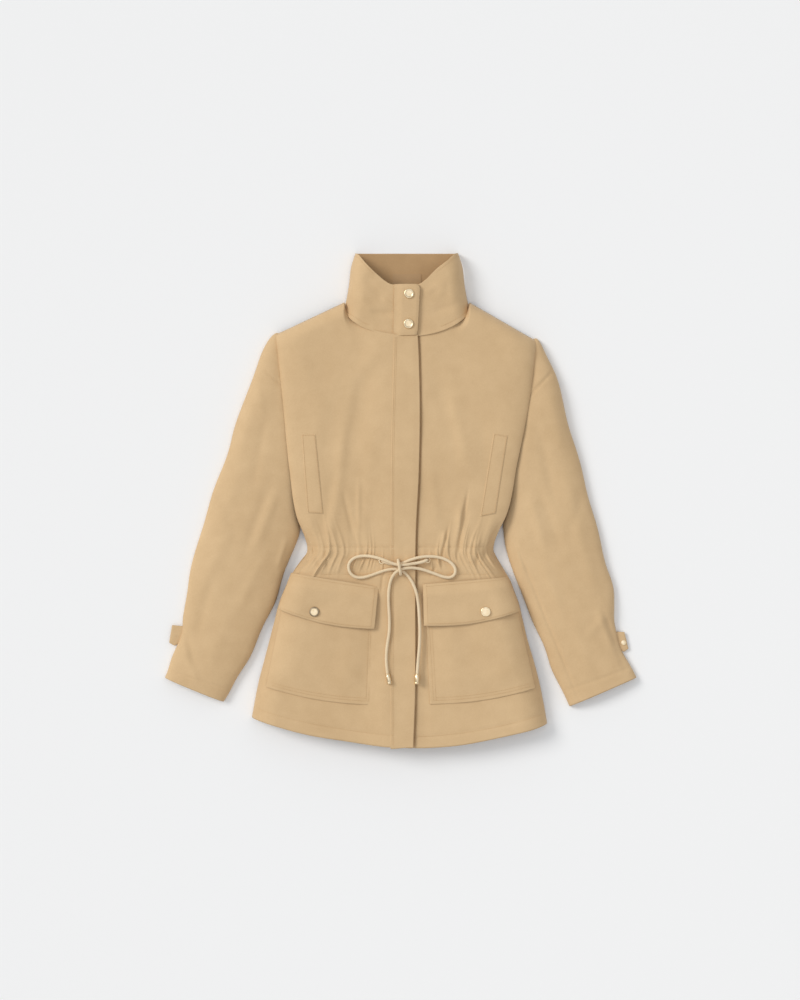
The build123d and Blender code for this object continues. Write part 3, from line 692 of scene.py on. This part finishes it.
LEAF_TOP = {"left": [(0, 345), (10, 344.5), (26, 345), (48, 361), (67, 380), (80, 395.5), (83, 397.5)],
            "right": [(-4, 344), (21, 345.5), (30, 352), (46, 368), (66, 384), (80, 396.5), (83, 397.5)]}
LEAF_FOLDS = [(-50, 300, -8, 296, 6, -1.6), (-30, 322, -6, 306, 4, 1.4), (-66, 330, -40, 290, 8, 1.4),
              (60, 340, 96, 318, 8, 1.3), (50, 300, 92, 312, 7, -1.2), (40, 330, 70, 350, 6, 1.2),
              (-60, 356, -20, 320, 7, -1.2), (76, 360, 60, 320, 7, 1.0)]


def collar_leaf(word, side, inner_x):
    """Rows from the neck seam to the sloping top edge; columns from the front edge to the side."""
    v = np.linspace(0, 1, 80)[:, None]
    angle = np.linspace(0, math.pi / 2, 110)[None, :]
    start = side * (inner_x - NECK_X)
    run = smooth_line([(0, 102), (0.25, 97.5), (0.5, 93.5), (0.83, 89), (1, 83)], v)
    reach = start + (run - start) * np.sin(angle)
    t = np.clip(np.abs(reach) / (NECK_HALF + 3.0), 0, 1)
    low = NECK_Y - 1.0 + NECK_DROP * (1 - np.sqrt(1 - t * t)) - 2.0 * (1 - v)
    high = np.maximum(smooth_line(LEAF_TOP[word], reach), low + 8)
    y = low + v * (high - low)
    x = NECK_X + side * reach
    rolled = roll(run - reach, 26.0)
    z = 2.8 + 34.4 * rolled + (folds(x, y, LEAF_FOLDS) + 0.2 * ripple(x, y, 34, 41)) * step(0, 0.5, rolled)
    z = z + 0.9 * np.exp(-(v / 0.05) ** 2)
    points = np.stack([x, y, z], axis=-1)
    return points if side > 0 else points[:, ::-1]


collar_seams = []
for word, side, inner_x in (("left", -1, ZIP_X - ZIP_EDGE), ("right", 1, ZIP_X + ZIP_EDGE)):
    points = collar_leaf(word, side, inner_x)
    shown = points[:, :70] if side < 0 else points[:, 40:]
    collar_seams += [shown[-5], shown[6]]
    leaf = grid_object(f"collar_{word}", points)
    thicken(leaf, 1.6)
    dress(leaf, SHELL, COAT, "shell_cotton", f"collar_leaf_{word}")

# %% [markdown]
# ## Fly and collar tab
# The fly covers the zip. Its left edge is sewn down, its right edge is free. On the coat the upper part
# folds open with the collar tab about a slanted line. Here both are whole pieces of shell cloth that keep
# the place they are drawn in.

# %% Fold line and the fly
FOLD_FOOT, FOLD_HEAD = (25.0, -70.0), (-9.0, 344.0)
STITCH_EDGE = [(-396, -15), (-66, -15), (98, -14), (250, -10.2), (266, -10)]


def fold_x(y):
    """x of the fold line at height y."""
    share = (y - FOLD_FOOT[1]) / (FOLD_HEAD[1] - FOLD_FOOT[1])
    return FOLD_FOOT[0] + share * (FOLD_HEAD[0] - FOLD_FOOT[0])


def fly_height(x, y):
    """The fly rests on the front at its stitched edge and stands a little higher at its free edge."""
    rise = step(-16, -4, x)
    base = (1 - rise) * (front_height(np.minimum(x, FLY_STITCH - 3), y) + 0.3) + rise * FLY_TOP
    crown = -0.7 * step(0, 1, (x - 19) / 12) + 0.22 * ripple(x, y, 70, 51)
    waist = -1.0 * np.exp(-((y - WAIST_Y) / 16) ** 2) * (0.5 + 0.5 * np.sin(x / 2.6))
    return base + crown * rise + waist * 0.6


def free_edge(y):
    """x of the fly's loose edge at height y."""
    return smooth_line(FREE_EDGE, y)


def stitch_edge(y):
    """x of the fly's sewn edge at height y."""
    return smooth_line(STITCH_EDGE, y)


FLY_HEAD = 263.5
FLY_FOOT = -396.0
OUT = np.array([FOLD_HEAD[1] - FOLD_FOOT[1], FOLD_FOOT[0] - FOLD_HEAD[0]], dtype=float)
OUT /= np.hypot(*OUT)


def across_fold(y):
    """From 1 mm before the fold line to 5 mm past it, at height y, in metres."""
    on_line = np.array([fold_x(y), y])
    return [(*((on_line + way * OUT) * MM), 0.041) for way in (-1.0, 5.0)]


y_fly = np.linspace(FLY_FOOT, FLY_HEAD, 460)[:, None]
u = np.linspace(0, 1, 44)[None, :]
x_fly = stitch_edge(y_fly) + (free_edge(y_fly) - stitch_edge(y_fly)) * u
y_fly = y_fly + 0.9 * np.sin(x_fly / 9.0) * np.exp(-((y_fly - FLY_FOOT) / 6) ** 2)
fly = grid_object("fly", np.stack([x_fly, y_fly, fly_height(x_fly, y_fly)], axis=-1))
thicken(fly, 1.3)
bend_cloth(fly, LAPEL, across_fold(100.0), "placket_lower", "placket_upper")

# %% Collar tab
v = np.linspace(0, 1, 90)[:, None]
u = np.linspace(0, 1, 44)[None, :]
tab_y_low, tab_y_high = 262.5, 344.5
y_line = tab_y_low + v * (tab_y_high - tab_y_low)
right = 28.0 + 4.4 * v - 4.0 * np.exp(-((1 - v) / 0.05) ** 2) - 1.5 * np.exp(-(v / 0.06) ** 2)
left = -10.5 + 1.5 * v
x = left + (right - left) * u
y = y_line + 1.2 * (u - 0.5) * (1 - v)
z = 39.6 + 3.4 * step(0.0, 0.35, u) - 1.2 * np.exp(-((1 - u) / 0.08) ** 2)
z = z - 0.9 * np.exp(-(v / 0.05) ** 2) - 0.8 * np.exp(-((1 - v) / 0.05) ** 2)
z = z + 0.35 * ripple(x, y, 30, 61)
tab = grid_object("collar_tab_cloth", np.stack(np.broadcast_arrays(x, y, z), axis=-1))
thicken(tab, 1.9)
bend_cloth(tab, LAPEL, across_fold(300.0), "collar_tab")

# %% [markdown]
# ## Pockets
# A patch pocket is a bag sewn onto the front: it stands off in its middle and is flat along its seams.
# Its flap is a second piece above it, sewn along its top, and it swings about that seam. A chest welt is
# a narrow strip sewn down all round, so it hardly stands off the front. All of them are four-cornered
# patches that blend their corner points, with a height of their own above the front.


# %% Pouches and flaps
def four_corners(corners, rows, cols, foot_bow=0.0):
    """u, v, x and y of a four-cornered patch: its corner points blended, and its foot bowed down."""
    (x00, y00), (x10, y10), (x11, y11), (x01, y01) = corners
    v = np.linspace(0, 1, rows)[:, None]
    u = np.linspace(0, 1, cols)[None, :]
    x = (1 - v) * (x00 + (x10 - x00) * u) + v * (x01 + (x11 - x01) * u)
    foot = y00 + (y10 - y00) * u - foot_bow * np.sin(math.pi * u)
    return u, v, x, (1 - v) * foot + v * (y01 + (y11 - y01) * u)


def patch(corners, rows, cols, lift, seed, foot_bow):
    """A patch over the front: the height of the front's side roll, plus lift(u, v) and ripples."""
    u, v, x, y = four_corners(corners, rows, cols, foot_bow)
    half = body_side(x, y)
    x = np.sign(x) * np.minimum(np.abs(x), half + 2.5)
    low = side_low(y)
    base = low + (BODY_TOP - low) * roll(half + 2.5 - np.abs(x), SIDE_ROLL)
    return x, y, base + lift(u, v) + 0.26 * ripple(x, y, 50, seed) + 0.03 * ripple(x, y, 15, seed + 1)


def pouch_lift(u, v):
    """Near the front at the three sewn edges, off it in the middle, with a fold along the pocket."""
    edge = step(0, 0.3, u) * step(0, 0.3, 1 - u) * step(0, 0.26, v)
    wave = 1.1 * np.sin(u * 9.0 + v * 2.0) * np.exp(-((v - 0.35) / 0.4) ** 2)
    return 1.3 + (3.4 + 0.8 * wave) * edge


def flap_lift(u, v):
    """Low at the top seam, over the pouch below it, with its free edges turned down a little."""
    sides = np.exp(-(u / 0.03) ** 2) + np.exp(-((1 - u) / 0.03) ** 2)
    down = 1.1 * (sides + np.exp(-(v / 0.04) ** 2))
    return 5.0 + 4.3 * step(0, 0.3, 1 - v) - down + 0.7 * np.sin(u * 7.5 + 0.6) * (1 - v)


POUCH_CORNERS = {"left": [(-44.5, -327.5), (-215, -299), (-186, -152), (-40, -165)],
                 "right": [(48, -326.5), (217.5, -301), (184, -152), (40, -163)]}
FLAP_CORNERS = {"left": [(-40.5, -205.5), (-196, -174), (-175, -116.5), (-34, -138.8)],
                "right": [(38, -200.5), (193, -177.5), (172, -123), (36.5, -134.5)]}
SNAP_PLACE = {"left": (-136.5, -178.0), "right": (136.5, -178.0)}
pouch_seams, flap_seams = [], {}
for word in ("left", "right"):
    x, y, z = patch(POUCH_CORNERS[word], 110, 120, pouch_lift, 71, 6.0)
    points = np.stack([x, y, z], axis=-1)
    pouch_seams += [points[4:-6, 4], points[4:-6, 7], points[4, 4:-6], points[7, 7:-6]]
    pocket = grid_object(f"pocket_{word}", points if word == "right" else points[:, ::-1])
    thicken(pocket, 1.1)
    dress(pocket, SHELL, COAT, "shell_cotton", f"pocket_pouch_{word}")
    x, y, z = patch(FLAP_CORNERS[word], 72, 120, flap_lift, 77, 8.0)
    snap_x, snap_y = SNAP_PLACE[word]
    z = z - 1.2 * np.exp(-(((x - snap_x) ** 2 + (y - snap_y) ** 2) / 12.0 ** 2))
    points = np.stack([x, y, z], axis=-1)
    flap_seams[word] = [points[4:-2, 5], points[4, 5:-6], points[-5, 5:-6]]
    cover = grid_object(f"flap_{word}_cloth", points if word == "right" else points[:, ::-1])
    thicken(cover, 1.6)
    dress(cover, SHELL, f"flap_{word}", "shell_cotton", f"pocket_flap_{word}")

# %% Chest welts
WELTS = {"left": [(-148.5, -21), (-122, -22.5), (-134.5, 105.5), (-157.5, 105.5)],
         "right": [(128, -27), (153.5, -22), (172.5, 103), (149, 107)]}
for word in ("left", "right"):
    u, v, x, y = four_corners(WELTS[word], 90, 22)
    edge = step(0, 0.12, u) * step(0, 0.12, 1 - u) * step(0, 0.03, v) * step(0, 0.03, 1 - v)
    z = front_height(x, y) + 0.1 + 0.3 * edge
    welt = grid_object(f"welt_{word}", np.stack([x, y, z], axis=-1))
    thicken(welt, 0.9)
    dress(welt, SHELL, COAT, "shell_cotton", f"chest_welt_{word}")

# %% [markdown]
# ## Turned metal: snap caps, eyelets and cord ends
# Each is a profile spun about an axis. The profile is a short list of radius and height pairs, and smooth
# shading rounds it, so that rims and domes catch the light. Where it meets the axis, its ring of points
# is merged into one, and the faces are turned outwards.


# %% Turned pieces
def close_mesh(thing, holes=False):
    """Merges points that coincide, fills the holes if asked, and turns all faces outwards."""
    shape = bmesh.new()
    shape.from_mesh(thing.data)
    bmesh.ops.remove_doubles(shape, verts=shape.verts, dist=0.005 * MM)
    if holes:
        bmesh.ops.holes_fill(shape, edges=[edge for edge in shape.edges if edge.is_boundary])
    bmesh.ops.recalc_face_normals(shape, faces=shape.faces)
    shape.to_mesh(thing.data)
    shape.free()


def turned(name, profile, centre, axis=(0, 0, 1), around=64):
    """Spin of a profile of (radius, height) pairs, in millimetres, about an axis through centre."""
    profile = np.array(profile, dtype=float)
    axis = np.array(axis, dtype=float)
    axis /= np.linalg.norm(axis)
    side = np.cross(axis, (0.0, 1.0, 0.0) if abs(axis[1]) < 0.9 else (1.0, 0.0, 0.0))
    side /= np.linalg.norm(side)
    other = np.cross(axis, side)
    angle = np.linspace(0, 2 * math.pi, around, endpoint=False)
    ring = np.cos(angle)[:, None] * side + np.sin(angle)[:, None] * other
    points = np.array(centre, dtype=float) + profile[:, :1, None] * ring[None] + profile[:, 1:, None] * axis
    thing = grid_object(name, points, ring=True)
    if profile[0, 0] == 0:
        close_mesh(thing)
    return thing


def joined(name, parts):
    """Several meshes made into one piece."""
    bpy.ops.object.select_all(action="DESELECT")
    for part in parts:
        part.select_set(True)
    bpy.context.view_layer.objects.active = parts[0]
    bpy.ops.object.join()
    parts[0].name = name
    return parts[0]


CAP = [(0, 1.7), (2.0, 1.72), (4.2, 1.7), (5.2, 1.75), (5.7, 2.1), (6.4, 2.3), (7.1, 2.2), (7.6, 1.8),
       (7.95, 1.2), (8.0, 0.6), (7.7, 0.1), (7.0, 0.0), (0, 0.0)]
DOME = [(0, 2.3), (2.5, 2.27), (4.5, 2.15), (5.8, 1.95), (6.4, 1.75), (6.8, 1.9), (7.3, 1.85), (7.85, 1.3),
        (8.0, 0.7), (7.7, 0.1), (7.0, 0.0), (0, 0.0)]
caps = [turned(f"cap_{i}", CAP, (x, y, 43.2)) for i, (x, y) in enumerate(((14.4, 329.0), (13.6, 281.0)))]
collar_caps = joined("collar_caps", caps)
dress(collar_caps, PALE_GOLD, LAPEL, "pale_gold", "collar_snap_caps")
# The left pocket cap gets the darker brass as painted shade; the right one stays pale gold.
for word, finish in (("left", DARK_BRASS_AND_PAINTED_SHADE), ("right", PALE_GOLD)):
    snap_x, snap_y = SNAP_PLACE[word]
    cap = turned(f"pocket_cap_{word}", DOME, (snap_x, snap_y, 43.9))
    dress(cap, finish, f"flap_{word}", "pale_gold", f"pocket_snap_cap_{word}")

EYELETS = {"left": (-28.8, -97.0), "right": (43.8, -95.5)}
RIM = [(3.1, -3.0), (3.0, 0.2), (3.2, 0.9), (3.9, 1.3), (4.8, 1.2), (5.5, 0.7), (5.7, 0.1), (5.5, -0.4)]
rims = [turned(f"rim_{word}", RIM, (x, y, float(front_height(np.array([x]), np.array([y]))[0]) + 0.2))
        for word, (x, y) in EYELETS.items()]
for rim in rims:
    thicken(rim, -0.3)
eyelets = joined("eyelet_rims", rims)
dress(eyelets, PALE_GOLD, COAT, "pale_gold", "cord_eyelets")

# %% [markdown]
# ## Drawcord
# One cord runs round the waist inside its casing and comes out of two eyelets, where it is tied in a
# bow. Each visible half is one spline: out of its eyelet, over to the knot, round a loop, back over the
# knot and down to its metal end. A limp cord lies on the cloth wherever nothing lifts it.

# %% Cord routes, in millimetres
CORD_D = 4.8
CORD_LEFT = [(-28.8, -97.0, 31.5), (-28.8, -97.0, 41.2), (-25.2, -98.4, 44.6), (-15.0, -101.6, 44.0),
             (-3.0, -102.6, 43.4), (7.0, -99.5, 43.2), (18.0, -94.6, 43.6), (34.0, -90.4, 42.6),
             (52.0, -89.6, 40.2), (68.0, -92.6, 39.4), (80.5, -98.6, 39.4), (88.0, -107.5, 39.4),
             (88.6, -117.0, 39.4), (82.0, -123.8, 39.4), (71.0, -123.4, 39.4), (55.0, -117.4, 39.8),
             (37.0, -110.6, 42.0), (20.0, -107.6, 45.6), (7.0, -108.6, 48.4), (-3.0, -111.6, 48.4),
             (-11.0, -119.0, 46.4), (-16.0, -131.0, 43.6), (-18.6, -148.0, 43.2), (-18.2, -168.0, 43.4),
             (-16.6, -190.0, 43.2), (-17.0, -211.0, 43.4), (-20.4, -230.0, 43.2), (-22.2, -250.0, 43.2),
             (-21.6, -264.0, 43.3), (-19.8, -277.0, 43.5)]
CORD_RIGHT = [(43.8, -95.5, 31.5), (43.8, -95.5, 41.2), (40.4, -97.0, 44.4), (31.0, -99.8, 44.2),
              (20.0, -101.4, 45.0), (10.0, -103.0, 47.2), (0.0, -103.6, 48.8), (-11.0, -101.4, 49.0),
              (-22.0, -96.6, 49.0), (-36.0, -91.6, 46.6), (-52.0, -88.8, 41.4), (-66.0, -89.4, 39.6),
              (-77.0, -94.4, 39.4), (-83.0, -104.0, 39.4), (-80.6, -116.0, 39.4), (-71.0, -123.6, 39.4),
              (-58.0, -124.0, 39.4), (-42.0, -118.6, 40.2), (-26.0, -112.4, 42.2), (-12.0, -109.6, 43.2),
              (0.0, -110.8, 43.2), (10.0, -117.4, 43.2), (20.0, -130.8, 43.4), (26.6, -148.0, 43.6),
              (29.6, -168.0, 43.4), (31.0, -190.0, 43.4), (31.9, -211.0, 43.2), (31.0, -234.0, 43.4),
              (28.8, -255.0, 43.2), (27.4, -277.0, 43.5)]


def route_curve(name, route):
    """One open NURBS spline of order 3 with the route's points as its control points."""
    curve = bpy.data.curves.new(name, "CURVE")
    curve.dimensions = "3D"
    spline = curve.splines.new("NURBS")
    spline.points.add(len(route) - 1)
    flat = np.concatenate([np.array(route) * MM, np.ones((len(route), 1))], axis=1)
    spline.points.foreach_set("co", flat.astype(np.float32).ravel())
    spline.order_u = 3
    spline.use_endpoint_u = True
    spline.resolution_u = 12
    return curve


def line_points(name, route):
    """Points along the smooth line of a route, read from its spline, in millimetres."""
    curve = route_curve(name, route)
    holder = bpy.data.objects.new(name, curve)
    scene.collection.objects.link(holder)
    bpy.context.view_layer.update()
    mesh = bpy.data.meshes.new_from_object(holder.evaluated_get(bpy.context.evaluated_depsgraph_get()))
    flat = np.empty(len(mesh.vertices) * 3, dtype=np.float32)
    mesh.vertices.foreach_get("co", flat)
    bpy.data.objects.remove(holder)
    bpy.data.curves.remove(curve)
    bpy.data.meshes.remove(mesh)
    return flat.reshape(-1, 3).astype(float) / MM


def even_points(points, spacing):
    """The same line with points at an even spacing."""
    steps = np.linalg.norm(np.diff(points, axis=0), axis=1)
    keep = np.concatenate([[True], steps > 1e-4])
    points = points[keep]
    run = np.concatenate([[0], np.cumsum(np.linalg.norm(np.diff(points, axis=0), axis=1))])
    at = np.linspace(0, run[-1], int(run[-1] / spacing) + 1)
    return np.stack([np.interp(at, run, points[:, k]) for k in range(3)], axis=1), run[-1]


def braided_tube(name, points, radius, around=28, plaits=8, pitch=7.5):
    """A tube whose radius swells where the two sets of braid strands run, as cotton braid does."""
    tangent = np.gradient(points, axis=0)
    tangent /= np.linalg.norm(tangent, axis=1, keepdims=True)
    up = np.array([0.03, 0.02, 1.0])
    side = np.cross(tangent, up)
    side /= np.linalg.norm(side, axis=1, keepdims=True)
    other = np.cross(side, tangent)
    run = np.concatenate([[0], np.cumsum(np.linalg.norm(np.diff(points, axis=0), axis=1))])[:, None]
    angle = np.linspace(0, 2 * math.pi, around, endpoint=False)[None, :]
    turn = 2 * math.pi * run / pitch
    strand = np.cos(plaits / 2 * (angle + turn)) * np.cos(plaits / 2 * (angle - turn))
    size = (radius - 0.14 + 0.28 * np.abs(strand))[..., None]
    ring = np.cos(angle)[..., None] * side[:, None] + np.sin(angle)[..., None] * other[:, None]
    return grid_object(name, points[:, None] + size * ring, ring=True)


KNOT = [(-3.0, -96.0, 41.5), (-3.2, -95.4, 46.0), (-2.8, -97.4, 51.0), (-2.0, -102.0, 53.7),
        (-1.0, -107.0, 54.0), (0.0, -112.0, 53.4), (1.0, -116.8, 50.4), (1.2, -118.6, 46.0),
        (1.0, -118.2, 41.5)]
knot_line, _ = even_points(line_points("route_knot", KNOT), 0.6)
knot = braided_tube("knot_wrap", knot_line, CORD_D / 2)
close_mesh(knot, holes=True)
dress(knot, CORD, COAT, "cord")

TIP = [(0, 0.0), (2.9, 0.0), (3.6, 0.5), (3.8, 1.3), (3.55, 1.9), (3.55, 2.4), (3.8, 2.9), (3.8, 12.6),
       (3.55, 13.1), (3.55, 13.6), (3.8, 14.1), (3.75, 15.6), (3.3, 16.3), (2.2, 16.6), (0, 16.6)]
TIP_AIM = {"left": (-16.3, -293.0, 43.9), "right": (26.9, -293.0, 43.9)}
for word, route in (("left", CORD_LEFT), ("right", CORD_RIGHT)):
    smooth, length = even_points(line_points(f"route_{word}", route), 0.75)
    rope = braided_tube(f"drawcord_half_{word}", smooth, CORD_D / 2)
    close_mesh(rope, holes=True)
    dress(rope, CORD, COAT, "cord", f"drawcord_{word}")
    aim = np.array(TIP_AIM[word]) - np.array(route[-1])
    tip = turned(f"metal_end_{word}", TIP, route[-1], aim, 40)
    dress(tip, PALE_GOLD, COAT, "pale_gold", f"cord_tip_{word}")
    print(word, "half of the drawcord", round(length), "mm")

# %% [markdown]
# ## Cuff tabs
# A short strap sticks out past the outer edge of each sleeve, with a snap on it. It is sewn to the sleeve
# and folds back over it. Here its cloth keeps the place it is drawn in, and its snap cap rides on the
# strap's body.

# %% Cuff tabs
CUFF_TABS = {"left": [(-346, -204), (-367, -202), (-371.5, -230), (-363.5, -234.5), (-350, -226)],
             "right": [(342, -212), (362, -213), (368.5, -240), (361, -245), (346, -236)]}
CUFF_SNAPS = {"left": (-363.0, -218.0), "right": (360.5, -230.0)}
CUFF_HINGE, CUFF_MIDDLE = 354.5, -220.0
for word in ("left", "right"):
    outline = np.array(CUFF_TABS[word], dtype=float)
    centre = outline.mean(axis=0)
    loop = np.concatenate([outline, outline[:1]])
    edge = np.concatenate([a + (b - a) * np.linspace(0, 1, 12, endpoint=False)[:, None]
                           for a, b in zip(loop[:-1], loop[1:])])
    shares = np.linspace(0.02, 1, 14)[:, None, None]
    flat = centre + (edge - centre)[None] * shares
    z = 5.4 - 0.8 * shares ** 6 + 0 * flat[..., :1] + 0.2 * ripple(flat[..., :1], flat[..., 1:], 20, 91)
    strap = grid_object(f"cuff_strap_{word}_cloth", np.concatenate([flat, z], axis=-1), ring=True)
    thicken(strap, 1.6)
    side = math.copysign(1.0, CUFF_SNAPS[word][0])
    ends = [(side * x * MM, CUFF_MIDDLE * MM, 0.004) for x in (CUFF_HINGE - 0.5, CUFF_HINGE + 3.5)]
    bend_cloth(strap, f"cuff_strap_{word}", ends, f"cuff_tab_{word}")
    small = [(r * 0.52, h * 0.6) for r, h in DOME]
    stud = turned(f"cuff_cap_{word}", small, (*CUFF_SNAPS[word], 5.3), around=40)
    dress(stud, PALE_GOLD, f"cuff_strap_{word}", "pale_gold", f"cuff_snap_cap_{word}")

# %% [markdown]
# ## Stitching
# Topstitching is what makes sewn cloth look sewn. Each stitch is a short low-sided bead lying along its
# seam, a little sunk into the cloth; a seam is a line with one stitch every three millimetres.


# %% Stitches
def seam_points(line, pitch=3.0):
    """Even points along a seam's given corners."""
    points, _ = even_points(np.array(line, dtype=float), pitch)
    return points


def stitches(name, seams, height, body):
    """One bead per stitch: a six-sided spindle, 2.2 mm long and 0.7 mm thick, on height(x, y).

    With no height, the seams are lines in space already.
    """
    starts, ways = [], []
    for seam in seams:
        corners = np.array(seam, dtype=float)
        if height is None:
            points = seam_points(corners) + np.array([0, 0, 0.12])
        else:
            points = seam_points(np.column_stack([corners, np.zeros(len(corners))]))
            points[:, 2] = height(points[:, 0], points[:, 1])
        way = np.diff(points, axis=0)
        starts.append(points[:-1] + 0.5 * way)
        ways.append(way / np.linalg.norm(way, axis=1, keepdims=True))
    centre, way = np.concatenate(starts), np.concatenate(ways)
    side = np.cross(way, (0, 0, 1.0))
    side /= np.linalg.norm(side, axis=1, keepdims=True)
    top = np.cross(side, way)
    around = np.arange(6) * math.pi / 3
    ring = np.cos(around)[None, :, None] * side[:, None] + np.sin(around)[None, :, None] * top[:, None]
    stations = [(-1.1, 0.04), (-0.8, 0.28), (0.0, 0.36), (0.8, 0.28), (1.1, 0.04)]
    rings = [centre[:, None] + along * way[:, None] + size * ring for along, size in stations]
    rings = np.stack(rings, axis=1)
    count = len(centre)
    base = (np.arange(count) * 6 * len(stations))[:, None, None, None]
    r = np.arange(4)[None, :, None, None] * 6
    k = np.arange(6)[None, None, :, None]
    near, far = base + r, base + r + 6
    quad = np.concatenate([near + k, far + k, far + (k + 1) % 6, near + (k + 1) % 6], axis=-1)
    six = np.arange(6)[None, None, :]
    ends = np.concatenate([base[:, 0] + six, base[:, 0] + 24 + six[..., ::-1]], axis=1)
    mesh = bpy.data.meshes.new(name)
    faces = quad.reshape(-1, 4).tolist() + ends.reshape(-1, 6).tolist()
    mesh.from_pydata((rings.reshape(-1, 3) * MM).tolist(), [], faces)
    mesh.polygons.foreach_set("use_smooth", np.ones(len(mesh.polygons), dtype=bool))
    thing = bpy.data.objects.new(name, mesh)
    scene.collection.objects.link(thing)
    dress(thing, THREAD, body, "shell_cotton")
    return count


hem_seams = []
for inner, outer in ((-16, -228), (29, 228)):
    xs = np.linspace(inner, outer, 26)
    hem_seams += [[(x, float(hem_line(np.array(x))) + 19.0) for x in xs]]
welt_seams = []
for word in ("left", "right"):
    (ax, ay), (bx, by), (cx, cy), (dx, dy) = WELTS[word]
    welt_seams += [[(ax + 2, ay + 2), (bx - 2, by + 2)], [(bx - 2, by + 2), (cx - 2, cy - 2)],
                   [(cx - 2, cy - 2), (dx + 2, dy - 2)], [(dx + 2, dy - 2), (ax + 2, ay + 2)]]
waist_seams = []
for inner, outer in ((-17, -138), (30, 138)):
    for row in (-CASING_HALF, CASING_HALF):
        waist_seams.append([(x, CASING_Y + row) for x in np.linspace(inner, outer, 30)])
total = stitches("stitching_body", hem_seams + waist_seams, lambda x, y: front_height(x, y) + 0.2, COAT)
total += stitches("stitching_welts", welt_seams, lambda x, y: front_height(x, y) + 0.75, COAT)
fly_y = np.linspace(-392, 260, 60)
fly_line = [(float(stitch_edge(v)) + 2.2, v) for v in fly_y]
second_line = [(x + 2.4, y) for x, y in fly_line]
total += stitches("stitching_fly", [fly_line, second_line], lambda x, y: fly_height(x, y) + 0.12, COAT)
total += stitches("stitching_pockets", pouch_seams, None, COAT)
total += stitches("stitching_collar", collar_seams, None, COAT)
for word, seams in flap_seams.items():
    total += stitches(f"stitching_flap_{word}", seams, None, f"flap_{word}")
print("stitches", total)

# %% [markdown]
# ## Hidden pieces kept from the frame
# The linings, the zip and the small hardware keep their CAD shapes and only get a better finish.

# %% Finishes on the CAD pieces that stay
KEPT = {
    "lining_": LINING, "chest_pocket_bag": LINING, "waist_casing": LINING, "drawcord_channel": CORD,
    "zip_tape": TAPE, "zip_coil": DARK_BRASS_AND_PAINTED_SHADE, "zip_": DARK_BRASS_AND_PAINTED_SHADE, "hanger_loop": TAPE, "neck_label": LABEL,
    "collar_snap": PALE_GOLD, "pocket_snap": PALE_GOLD, "eyelet_washers": DARK_BRASS_AND_PAINTED_SHADE,
}
for name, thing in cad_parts.items():
    for start, material in KEPT.items():
        if name.startswith(start):
            for socket in thing.material_slots:
                socket.material = material
            break
